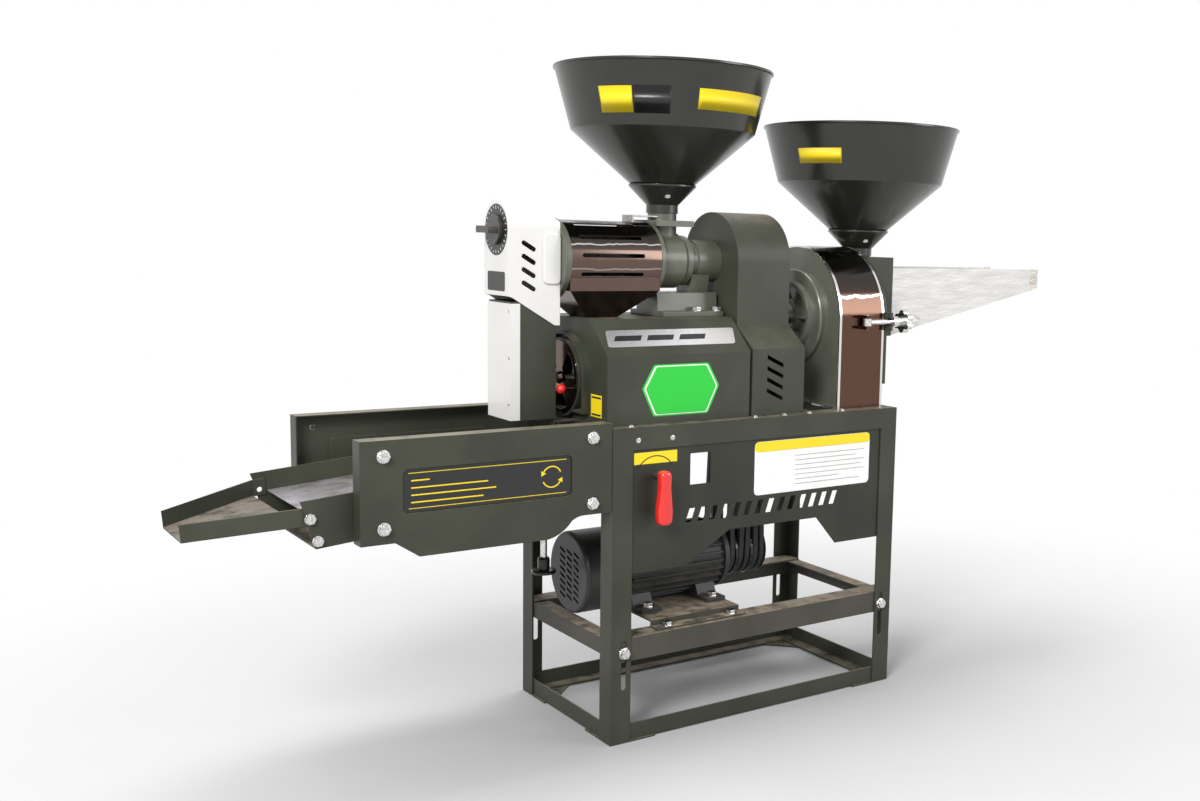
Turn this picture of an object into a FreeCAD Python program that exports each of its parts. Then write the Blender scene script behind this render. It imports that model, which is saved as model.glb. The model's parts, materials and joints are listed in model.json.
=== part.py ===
"""Combined rice huller, crusher and grading sieve on an angle-iron stand.

X runs towards the crusher, Y to the back and Z up. The origin is at the middle of the four floor
bolts, on the floor. All lengths are millimetres and all of them stand in the sheet "dims".
"""
import FreeCAD, Part
import math
import os
import re

import Sketcher

Vector = FreeCAD.Vector

SIZES = {
    # stand
    "frame_length": 650, "frame_depth": 345, "frame_height": 565, "angle_leg": 40, "angle_wall": 3,
    "base_leg": 30, "gusset_wall": 3, "gusset_reach": 92, "gusset_cut": 23, "floor_hole_inset": 46,
    "floor_hole_radius": 6.5, "crossbar_wall": 4, "rail_top": 190, "rail_drop": 42, "rail_width": 43,
    "leg_slot_inset": 26, "leg_slot_low": 98, "leg_slot_high": 187, "slot_radius": 5.5,
    "crossbar_left": -62, "crossbar_right": 112,
    # front panel
    "panel_wall": 2, "panel_drop": 260, "panel_step_drop": 204, "panel_step_start": -172,
    "panel_step_in": -77, "panel_step_out": 128, "panel_step_end": 177, "window_left": -165,
    "window_width": 44, "window_drop": 112, "window_height": 57, "vent_left": -174, "vent_drop": 181,
    "vent_height": 26, "vent_width": 13, "vent_slant": 9, "vent_pitch": 25.5, "vent_count": 14,
    # levels of the shafts
    "motor_rise": 85, "blower_rise": 73, "crusher_rise": 175, "mill_rise": 284, "running_fit": 0.05,
    "seat_gap": 0.3,
    # motor
    "motor_left": -240, "motor_root": 60, "fin_height": 10, "fin_wall": 3.2, "fin_count": 28,
    "motor_bore": 42, "motor_shield": 12, "motor_shaft": 12, "cowl_left": -318, "cowl_right": -229,
    "cowl_radius": 76, "cowl_wall": 2, "foot_height": 8, "foot_reach": 95, "foot_length": 42,
    "foot_left": -195, "foot_right": -52, "foot_bolt": 80, "plate_left": -222, "plate_right": -28,
    "plate_wall": 3, "plate_rise": 10, "plate_half": 133, "plate_flange": 24, "rail_bolt_left": -195,
    "rail_bolt_right": -55, "rail_bolt_side": 147, "slot_half": 22,
    # belt drive
    "guard_left": -16, "guard_right": 106, "guard_wall": 2, "guard_half": 147,
    "guard_knee_rise": 125, "guard_shoulder_rise": 166, "guard_arch": 93, "belt_width": 10,
    "belt_thick": 8, "groove_depth": 10, "groove_flare": 2, "motor_pulley": 51, "mill_pulley": 75,
    "crusher_pulley": 34, "blower_pulley": 30, "blower_belt": 17, "mill_belt_one": 37,
    "mill_belt_two": 52, "crusher_belt_one": 73, "crusher_belt_two": 88, "pulley_edge": 9,
    # blower
    "blower_inset": 2, "blower_right": -22, "blower_half": 147, "blower_back": 100,
    "blower_brow_rise": 122, "blower_height": 181, "blower_top_front": -84, "blower_wall": 3,
    "collar_radius": 83, "collar_depth": 13, "collar_wall": 5, "collar_rise": 15, "mouth_radius": 71,
    "mouth_hole": 58, "damper_radius": 66, "damper_wall": 2, "knob_side": 42, "knob_drop": 16,
    "knob_radius": 9, "knob_stem": 3.5, "knob_reach": 14, "impeller_radius": 62,
    "impeller_inset": 17, "impeller_depth": 44, "blade_count": 8, "blower_shaft": 10,
    "bearing_width": 15, "outlet_radius": 45, "outlet_length": 40,
    # rice mill
    "mill_shaft": 15, "mill_bearing": 26, "housing_left": -95, "housing_right": 20,
    "housing_radius": 39.5, "pedestal_half": 62, "pedestal_base": 10, "chamber_overhang": 26,
    "chamber_right": -168, "chamber_radius": 70, "chamber_wall": 2, "chamber_split": 30,
    "inlet_centre": -127, "inlet_barrel": 52, "inlet_bore": 44, "neck_radius": 27, "neck_bore": 21,
    "flange_sink": 7, "neck_flange": 41, "flange_wall": 11, "gate_rise": 16, "gate_wall": 3,
    "gate_half": 18, "neck_rise": 23, "roller_radius": 38, "screen_radius": 52,
    "screen_wall": 2, "funnel_drop": 54, "funnel_inset": 49, "funnel_mouth": 64, "funnel_half": 30,
    "slot_count": 4, "cover_slots": 13,
    # head and rice column
    "head_length": 98, "head_half": 47, "head_rise": 100, "head_flat": 54, "head_wall": 2.5,
    "head_drop": 65, "head_low_drop": 116, "dial_rise": 49, "dial_radius": 26, "dial_grip": 46,
    "column_inset": 7, "column_width": 85, "column_rise": 5, "column_wall": 1.5,
    "strip_return": 16, "strip_gap": 0.2,
    "bracket_wall": 3, "bracket_drop": 32, "bracket_rise": 14, "bracket_bolt": 28,
    "bracket_level": 18,
    # hoppers
    "hopper_rim": 200, "hopper_knee": 170, "hopper_throat": 58, "hopper_height": 245,
    "hopper_knee_height": 133, "collar_height": 34, "hopper_wall": 1.5, "sleeve": 15,
    "collar_mouth": 63,
    # crusher
    "crusher_inset": 15, "crusher_width": 115, "crusher_half": 142, "crusher_wall": 3,
    "boss_radius": 96, "boss_proud": 12, "ring_radius": 70, "ring_proud": 23, "screen_clearance": 30,
    "rotor_clearance": 12, "claw_count": 8, "claw_height": 28, "door_wall": 6, "inlet_length": 80,
    "inlet_half": 74, "inlet_drop": 40, "inlet_rise": 122, "neck_inset": 44, "crusher_neck_rise": 17,
    "tray_length": 442, "tray_low_rise": 57, "tray_high_rise": 100, "tray_wall": 2,
    "hinge_reach": 10, "hinge_pin": 5, "knuckle": 9, "latch_back": 55, "latch_reach": 12,
    "latch_drop": 4, "latch_rod": 5, "latch_eye": 9, "latch_pivot": 3.4, "lug_reach": 5,
    "lug_slot": 7, "star_gap": 0.8, "star_start": 35, "star_end": 77, "star_radius": 23,
    "star_wall": 14, "lobe_radius": 7, "lobe_count": 6,
    # selector
    "selector_left": -237, "selector_drop": 87, "selector_shaft": 8,
    # sieve
    "cover_length": 436, "cover_rise": 10, "cover_inset": 1.5, "cover_wall": 2, "cover_flange": 30,
    "recess_low": 111, "recess_high": 35, "recess_left": 64, "recess_right": 74, "recess_soft": 12,
    "bridge_screw": 125, "bridge_low": 141, "bridge_high": 113, "bridge_wall": 3, "nut_radius": 12,
    "cover_drop": 152, "cover_belly_drop": 178, "pivot_inset": 36.5, "pivot_drop": 128,
    "sieve_slope": 5.15, "box_half": 133, "box_wall": 2, "box_left": -110, "box_past": 5.5,
    "box_low": -19, "box_high": 58, "deck_level": 26, "deck_wall": 1.5, "cradle_half": 147,
    "cradle_wall": 3, "screw_overhang": 43, "screw_radius": 6, "wheel_drop": 156,
    "wheel_radius": 22.5, "tip_left": -265, "tip_half": 58, "tip_low": 11, "tip_high": 39,
    "root_low": 19, "root_high": 47, "tray_tab": 22, "tray_bolt": -98, "tray_bolt_level": 29,
    "pan_bolt": -90, "pan_bolt_level": -7, "small_bolt": 4,
    # fasteners
    "bolt_radius": 5, "head_radius": 9.2, "head_height": 6.5, "washer_radius": 10.5,
    "washer_wall": 1.6, "hole_fit": 0.5,
}

# sizes that follow from the others
WORKED = {
    "frame_side": "frame_length / 2", "frame_front": "frame_depth / 2",
    "motor_axis": "rail_top + motor_rise", "blower_axis": "frame_height + blower_rise",
    "crusher_axis": "frame_height + crusher_rise", "mill_axis": "frame_height + mill_rise",
    "panel_end": "frame_side - angle_wall - 1", "panel_low": "frame_height - panel_drop",
    "panel_step": "frame_height - panel_step_drop",
    "window_right": "window_left + window_width", "window_low": "frame_height - window_drop",
    "window_high": "window_low + window_height", "vent_low": "frame_height - vent_drop",
    "vent_high": "vent_low + vent_height", "selector_level": "frame_height - selector_drop",
    "guard_knee": "frame_height + guard_knee_rise",
    "guard_shoulder": "frame_height + guard_shoulder_rise",
    "blower_left": "blower_inset - frame_side", "blower_brow": "frame_height + blower_brow_rise",
    "blower_top": "frame_height + blower_height", "impeller_left": "blower_left + impeller_inset",
    "impeller_right": "impeller_left + impeller_depth",
    "chamber_left": "-frame_side - chamber_overhang",
    "flange_low": "mill_axis + chamber_radius - flange_sink",
    "gate_level": "flange_low + gate_rise", "neck_top": "gate_level + neck_rise",
    "funnel_bend": "mill_axis - funnel_drop", "funnel_left": "chamber_left + funnel_inset",
    "funnel_right": "funnel_left + funnel_mouth",
    "head_right": "chamber_left - 11", "head_left": "head_right - head_length",
    "head_top": "mill_axis + head_rise", "head_low": "mill_axis - head_drop",
    "head_slope": "head_left + head_flat",
    "head_low_right": "mill_axis - head_low_drop", "dial_level": "mill_axis + dial_rise",
    "column_left": "head_left + column_inset", "column_right": "column_left + column_width",
    "column_low": "frame_height + column_rise",
    "crusher_right": "frame_side - crusher_inset", "crusher_left": "crusher_right - crusher_width",
    "boss_left": "crusher_left - boss_proud", "ring_left": "crusher_left - ring_proud",
    "screen_ring": "crusher_half - screen_clearance", "rotor_radius": "screen_ring - rotor_clearance",
    "inlet_right": "crusher_right + inlet_length", "inlet_low": "crusher_axis - inlet_drop",
    "inlet_top": "crusher_axis + inlet_rise", "crusher_neck": "crusher_right + neck_inset",
    "crusher_neck_top": "inlet_top + crusher_neck_rise", "tray_end": "inlet_right + tray_length",
    "tray_low": "crusher_axis + tray_low_rise", "tray_high": "crusher_axis + tray_high_rise",
    "tray_deep": "inlet_low + tray_wall", "hinge_side": "crusher_half + hinge_reach",
    "latch_start": "crusher_right - latch_back", "latch_side": "crusher_half + latch_reach",
    "latch_level": "crusher_axis - latch_drop", "star_left": "crusher_right + star_start",
    "star_right": "crusher_right + star_end",
    "cover_left": "-frame_side - cover_length", "cover_half": "frame_front - cover_inset",
    "cover_top": "frame_height + cover_rise", "cover_low": "frame_height - cover_drop",
    "cover_belly": "frame_height - cover_belly_drop", "pivot_left": "cover_left + pivot_inset",
    "pivot_level": "frame_height - pivot_drop", "screw_left": "-frame_side - screw_overhang",
    "box_right": "screw_left - pivot_left + box_past", "wheel_level": "pivot_level - wheel_drop",
}

doc = FreeCAD.newDocument("rice_huller")
dims = doc.addObject("Spreadsheet::Sheet", "dims")
for row, (name, size) in enumerate(SIZES.items(), start=1):
    dims.set("A%d" % row, name)
    dims.set("B%d" % row, str(size))
    dims.setAlias("B%d" % row, name)
doc.recompute()

pieces = []


def full(formula):
    """Return the formula with each size written as a cell of the sheet."""
    def spell(word):
        """Write one word out, if it is a size."""
        name = word.group()
        if name in WORKED:
            return "(%s)" % full(WORKED[name])
        return "dims." + name if name in SIZES else name

    return re.sub(r"[a-z][a-z_]*", spell, str(formula))


def value(formula):
    """Work a formula out to a number."""
    return float(dims.evalExpression(full(formula)))


def bind(thing, name, formula):
    """Tie one property of an object to a formula."""
    thing.setExpression(name, full(formula))


def place(thing, at):
    """Put an object at three formulas."""
    for letter, formula in zip("xyz", at):
        bind(thing, "Placement.Base." + letter, formula)
    return thing


def keep(thing, label):
    """Name a finished piece, which is written to its own file."""
    thing.Label = label
    pieces.append(thing)
    return thing


# ---- sketches and features -------------------------------------------------------------------

PLANES = {"x": "YZ_Plane", "y": "XZ_Plane", "z": "XY_Plane"}


def origin_part(body, role):
    """Find one plane or axis of a body's own origin."""
    return next(part for part in body.Origin.OriginFeatures if part.Role == role)


def new_body(name, at=None):
    """Start a body, placed at three formulas if they are given."""
    body = doc.addObject("PartDesign::Body", name)
    if at:
        place(body, at)
    return body


def arc_between(first, last, radius, turn):
    """Return the short arc from first to last, counter-clockwise when turn is 1."""
    chord = last - first
    across = Vector(-chord.y, chord.x, 0).normalize()
    rise = math.sqrt(max(radius ** 2 - chord.Length ** 2 / 4, 0))
    centre = (first + last) / 2 + across * rise * turn
    start, stop = (first, last) if turn > 0 else (last, first)
    angles = [math.atan2(end.y - centre.y, end.x - centre.x) for end in (start, stop)]
    return Part.ArcOfCircle(Part.Circle(centre, Vector(0, 0, 1), radius), *angles)


def fix_point(sketch, edge, end, corner):
    """Hold one point of a sketch at two formulas."""
    for kind, formula in zip(("DistanceX", "DistanceY"), corner):
        number = sketch.addConstraint(Sketcher.Constraint(kind, -1, 1, edge, end, value(formula)))
        bind(sketch, "Constraints[%d]" % number, formula)


def fix_radius(sketch, edge, formula):
    """Hold the radius of an arc or circle at a formula."""
    number = sketch.addConstraint(Sketcher.Constraint("Radius", edge, value(formula)))
    bind(sketch, "Constraints[%d]" % number, formula)


def draw_circle(sketch, x, y, radius):
    """Draw a circle at two formulas."""
    circle = Part.Circle(Vector(value(x), value(y), 0), Vector(0, 0, 1), value(radius))
    edge = sketch.addGeometry(circle)
    fix_point(sketch, edge, 3, (x, y))
    fix_radius(sketch, edge, radius)


def draw_outline(sketch, outline):
    """Draw a closed outline. A corner is (x, y), or (x, y, radius, turn) where an arc leads to it."""
    corners = [Vector(value(corner[0]), value(corner[1]), 0) for corner in outline]
    edges = []
    for number, first in enumerate(corners):
        following = (number + 1) % len(corners)
        last, corner = corners[following], outline[following]
        if len(corner) == 4:
            turn = corner[3]
            edge = sketch.addGeometry(arc_between(first, last, value(corner[2]), turn))
            fix_radius(sketch, edge, corner[2])
            edges.append((edge, 1, 2) if turn > 0 else (edge, 2, 1))
        else:
            edges.append((sketch.addGeometry(Part.LineSegment(first, last)), 1, 2))
    for number, (edge, start, stop) in enumerate(edges):
        ahead = edges[(number + 1) % len(edges)]
        sketch.addConstraint(Sketcher.Constraint("Coincident", edge, stop, ahead[0], ahead[1]))
        fix_point(sketch, edge, start, outline[number][:2])


def new_sketch(body, axis, loops, start="0"):
    """Draw loops on the plane across an axis, at a formula along that axis."""
    sketch = body.newObject("Sketcher::SketchObject", body.Name + "_sketch")
    sketch.AttachmentSupport = [(origin_part(body, PLANES[axis]), "")]
    sketch.MapMode = "FlatFace"
    side = "-(%s)" if axis == "y" else "(%s)"
    bind(sketch, "AttachmentOffset.Base.z", side % start)
    for loop in loops:
        if loop[0] == "circle":
            draw_circle(sketch, *loop[1:])
        else:
            draw_outline(sketch, loop)
    return sketch


def pad(body, axis, loops, start, length):
    """Add the loops as a prism from start, which runs length along the axis."""
    feature = body.newObject("PartDesign::Pad", body.Name + "_pad")
    feature.Profile = new_sketch(body, axis, loops, start)
    bind(feature, "Length", length)
    feature.Reversed = axis == "y"
    return feature


def pocket(body, axis, loops, start, length):
    """Cut the loops out as a prism from start, which runs length along the axis."""
    feature = body.newObject("PartDesign::Pocket", body.Name + "_pocket")
    feature.Profile = new_sketch(body, axis, loops, start)
    bind(feature, "Length", length)
    feature.Reversed = axis != "y"
    return feature


def turn(body, axis, loops, cut=False):
    """Turn half profiles about an axis: (along, radius) about X or Y, (radius, along) about Z."""
    kind = "PartDesign::Groove" if cut else "PartDesign::Revolution"
    feature = body.newObject(kind, body.Name + "_turned")
    sketch = new_sketch(body, {"x": "y", "y": "x", "z": "y"}[axis], loops)
    feature.Profile = sketch
    feature.ReferenceAxis = (sketch, ["V_Axis" if axis == "z" else "H_Axis"])
    feature.Angle = 360
    return feature


def slope(body, axis, first, start, last, stop, cut=False):
    """Loft straight walls between two outlines on parallel planes, as metal or as a hollow."""
    kind = "PartDesign::SubtractiveLoft" if cut else "PartDesign::AdditiveLoft"
    feature = body.newObject(kind, body.Name + "_slope")
    feature.Profile = new_sketch(body, axis, [first], start)
    feature.Sections = [new_sketch(body, axis, [last], stop)]
    feature.Ruled = True
    return feature


def repeat_round(body, feature, axis, count, angle=360, back=False):
    """Repeat a feature round one of the body's axes."""
    pattern = body.newObject("PartDesign::PolarPattern", body.Name + "_round")
    pattern.Originals = [feature]
    pattern.Axis = (origin_part(body, axis.upper() + "_Axis"), [""])
    pattern.Angle = angle
    pattern.Reversed = back
    bind(pattern, "Occurrences", count)
    body.Tip = pattern
    return pattern


def repeat_along(body, feature, axis, length, count):
    """Repeat a feature in a row along one of the body's axes."""
    pattern = body.newObject("PartDesign::LinearPattern", body.Name + "_row")
    pattern.Originals = [feature]
    pattern.Direction = (origin_part(body, axis.upper() + "_Axis"), [""])
    bind(pattern, "Length", length)
    bind(pattern, "Occurrences", count)
    body.Tip = pattern
    return pattern


def rectangle(left, low, right, high):
    """Return a rectangular outline."""
    return [(left, low), (right, low), (right, high), (left, high)]


def soft_rectangle(left, low, right, high, soft):
    """Return a rectangular outline with round corners."""
    near, far = "%s + %s" % (left, soft), "%s - %s" % (right, soft)
    under, over = "%s + %s" % (low, soft), "%s - %s" % (high, soft)
    return [(near, low, soft, 1), (far, low), (right, under, soft, 1), (right, over),
            (far, high, soft, 1), (near, high), (left, over, soft, 1), (left, under)]


def level_slot(left, right, level, radius):
    """Return a level slot with round ends, between the centres of its ends."""
    low, high = "%s - %s" % (level, radius), "%s + %s" % (level, radius)
    return [(left, low, radius, 1), (right, low), ("%s + %s" % (right, radius), level, radius, 1),
            (right, high, radius, 1), (left, high), ("%s - %s" % (left, radius), level, radius, 1)]


def upright_slot(along, low, high, radius):
    """Return an upright slot with round ends, between its lowest and highest points."""
    left, right = "%s - %s" % (along, radius), "%s + %s" % (along, radius)
    foot, head = "%s + %s" % (low, radius), "%s - %s" % (high, radius)
    return [(along, low, radius, 1), (right, foot, radius, 1), (right, head),
            (along, high, radius, 1), (left, head, radius, 1), (left, foot)]


# ---- primitives and booleans -----------------------------------------------------------------

SPINS = {("x", 1): (Vector(0, 1, 0), 90), ("x", -1): (Vector(0, 1, 0), -90),
         ("y", 1): (Vector(1, 0, 0), -90), ("y", -1): (Vector(1, 0, 0), 90),
         ("z", 1): (Vector(0, 0, 1), 0), ("z", -1): (Vector(1, 0, 0), 180)}


def box(low, high):
    """Return a block between two corners, each given by three formulas."""
    block = doc.addObject("Part::Box", "block")
    for name, start, stop in zip(("Length", "Width", "Height"), low, high):
        bind(block, name, "(%s) - (%s)" % (stop, start))
    return place(block, low)


def rod(axis, sign, at, radius, length):
    """Return a round bar that runs from a point along an axis."""
    bar = doc.addObject("Part::Cylinder", "bar")
    bind(bar, "Radius", radius)
    bind(bar, "Height", length)
    bar.Placement = FreeCAD.Placement(Vector(), FreeCAD.Rotation(*SPINS[axis, sign]))
    return place(bar, at)


def join(parts):
    """Fuse parts that are one solid."""
    fused = doc.addObject("Part::MultiFuse", "joined")
    fused.Shapes = parts
    return fused


def cut(base, tool):
    """Take a tool away from a base."""
    result = doc.addObject("Part::Cut", "cut")
    result.Base, result.Tool = base, tool
    return result


def group(parts):
    """Keep separate solids together in one piece of the list."""
    compound = doc.addObject("Part::Compound", "group")
    compound.Links = parts
    return compound


def mirror(source, normal):
    """Return the mirror image of a part in the plane through the origin."""
    image = doc.addObject("Part::Mirroring", "mirrored")
    image.Source = source
    image.Normal = normal
    return image


ACROSS_X, ACROSS_Y = Vector(1, 0, 0), Vector(0, 1, 0)


def both_sides(part, normal):
    """Return a part and its mirror image."""
    return [part, mirror(part, normal)]


def bolt(axis, sign, at, shank, radius="bolt_radius"):
    """Return a hexagon bolt with its washer on the point at, with its head towards the sign."""
    bar = doc.addObject("Part::Cylinder", "shank")
    washer = doc.addObject("Part::Cylinder", "washer")
    head = doc.addObject("Part::Prism", "head")
    bind(bar, "Radius", radius)
    bind(bar, "Height", "(%s) + washer_wall" % shank)
    bind(washer, "Radius", "washer_radius * %s / bolt_radius" % radius)
    washer.setExpression("Height", full("washer_wall"))
    head.Polygon = 6
    bind(head, "Circumradius", "head_radius * %s / bolt_radius" % radius)
    bind(head, "Height", "head_height * %s / bolt_radius" % radius)
    for part, offset in ((bar, "-(%s)" % shank), (washer, "0"), (head, "washer_wall")):
        part.Placement = FreeCAD.Placement(Vector(), FreeCAD.Rotation(*SPINS[axis, sign]))
        place(part, ["(%s) + %d * (%s)" % (formula, sign, offset) if letter == axis else formula
                     for letter, formula in zip("xyz", at)])
    return join([bar, washer, head])


# ---- stand -----------------------------------------------------------------------------------

side_x, side_y = "frame_length / 2", "frame_depth / 2"
inner_x, inner_y = "(frame_length / 2 - angle_wall)", "(frame_depth / 2 - angle_wall)"


def angle_outline(corner_u, corner_v, reach_u, reach_v):
    """Return an angle section whose outer corner is given, with signed reaches."""
    wall_u = "angle_wall" if reach_u[0] != "-" else "-angle_wall"
    wall_v = "angle_wall" if reach_v[0] != "-" else "-angle_wall"
    far_u, far_v = "%s + %s" % (corner_u, reach_u), "%s + %s" % (corner_v, reach_v)
    in_u, in_v = "%s + %s" % (corner_u, wall_u), "%s + %s" % (corner_v, wall_v)
    return [(corner_u, corner_v), (far_u, corner_v), (far_u, in_v), (in_u, in_v), (in_u, far_v),
            (corner_u, far_v)]


def build_stand():
    """Legs, base, top and motor rails of the stand."""
    leg = new_body("leg")
    pad(leg, "z", [angle_outline("-" + side_x, "-" + side_y, "angle_leg", "angle_leg")],
        "gusset_wall", "frame_height - angle_leg - gusset_wall")
    pocket(leg, "y", [upright_slot("-%s + leg_slot_inset" % side_x, "leg_slot_low",
                                   "leg_slot_high", "slot_radius")],
           "-%s - 1" % side_y, "angle_wall + 2")
    legs = both_sides(leg, ACROSS_X)
    keep(group(legs + [mirror(part, ACROSS_Y) for part in legs]), "frame_legs")

    gusset = new_body("gusset")
    pad(gusset, "z", [[("-" + side_x, "-" + side_y),
                       ("-%s + gusset_reach" % side_x, "-" + side_y),
                       ("-%s + gusset_reach" % side_x, "-%s + gusset_cut" % side_y),
                       ("-%s + gusset_cut" % side_x, "-%s + gusset_reach" % side_y),
                       ("-" + side_x, "-%s + gusset_reach" % side_y)],
                      ("circle", "-%s + floor_hole_inset" % side_x,
                       "-%s + floor_hole_inset" % side_y, "floor_hole_radius")],
        "0", "gusset_wall")
    gussets = both_sides(gusset, ACROSS_X)
    base_front = new_body("base_front")
    pad(base_front, "x", [angle_outline("-" + inner_y, "gusset_wall", "base_leg", "base_leg")],
        "-" + inner_x, "frame_length - 2 * angle_wall")
    base_side = new_body("base_side")
    pad(base_side, "y", [angle_outline("-" + inner_x, "gusset_wall", "base_leg", "base_leg")],
        "-(%s - base_leg)" % inner_y, "2 * (%s - base_leg)" % inner_y)
    keep(group(gussets + [mirror(part, ACROSS_Y) for part in gussets]
               + both_sides(base_front, ACROSS_Y) + both_sides(base_side, ACROSS_X)), "base_rails")

    top_front = new_body("top_front")
    pad(top_front, "x", [angle_outline("-" + side_y, "frame_height", "angle_leg", "-angle_leg")],
        "-" + side_x, "frame_length")
    top_side = new_body("top_side")
    pad(top_side, "y", [rectangle("-" + side_x, "frame_height - angle_leg", "-" + inner_x,
                                  "frame_height - angle_wall")],
        "-" + inner_y, "2 * " + inner_y)
    pad(top_side, "y", [rectangle("-" + side_x, "frame_height - angle_wall",
                                  "-%s + angle_leg" % side_x, "frame_height")],
        "-(%s - angle_leg)" % side_y, "2 * (%s - angle_leg)" % side_y)
    bars = [box((left, "-" + inner_y, "frame_height - angle_wall - crossbar_wall"),
                (left + " + angle_leg", inner_y, "frame_height - angle_wall"))
            for left in ("crossbar_left", "crossbar_right")]
    keep(group(both_sides(top_front, ACROSS_Y) + both_sides(top_side, ACROSS_X) + bars), "top_rails")

    rail = new_body("rail")
    pad(rail, "x", [angle_outline("-" + inner_y, "rail_top", "rail_width", "-rail_drop")],
        "-" + inner_x, "2 * " + inner_x)
    for left in ("rail_bolt_left", "rail_bolt_right"):
        pocket(rail, "z", [level_slot("%s - slot_half" % left, "%s + slot_half" % left,
                                      "-rail_bolt_side", "slot_radius")],
               "rail_top - angle_wall - 1", "angle_wall + 2")
    rail_back = mirror(rail, ACROSS_Y)
    tie = new_body("tie")
    pad(tie, "y", [angle_outline("-" + inner_x, "rail_top - angle_wall", "base_leg", "-base_leg")],
        "-(%s - angle_wall)" % inner_y, "2 * (%s - angle_wall)" % inner_y)
    keep(group([rail, rail_back] + both_sides(tie, ACROSS_X)), "motor_rails")


build_stand()


# ---- front panel -----------------------------------------------------------------------------


def build_panel():
    """Front sheet with its stepped lower edge, square window and row of slanted vents."""
    panel = new_body("panel")
    top = "frame_height - angle_wall - crossbar_wall"
    pad(panel, "y", [[("-panel_end", top), ("-panel_end", "panel_low"),
                      ("panel_step_start", "panel_low"), ("panel_step_in", "panel_step"),
                      ("panel_step_out", "panel_step"), ("panel_step_end", "panel_low"),
                      ("panel_end", "panel_low"), ("panel_end", top)],
                     rectangle("window_left", "window_low", "window_right", "window_high"),
                     ("circle", "selector_left", "selector_level", "selector_shaft + running_fit")],
        "-" + inner_y, "panel_wall")
    vent = pocket(panel, "y", [[("vent_left", "vent_low"), ("vent_left + vent_width", "vent_low"),
                                ("vent_left + vent_width + vent_slant", "vent_high"),
                                ("vent_left + vent_slant", "vent_high")]],
                  "-%s - 1" % inner_y, "panel_wall + 2")
    repeat_along(panel, vent, "x", "vent_pitch * (vent_count - 1)", "vent_count")
    keep(panel, "front_panel")


build_panel()


# ---- motor -----------------------------------------------------------------------------------


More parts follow.
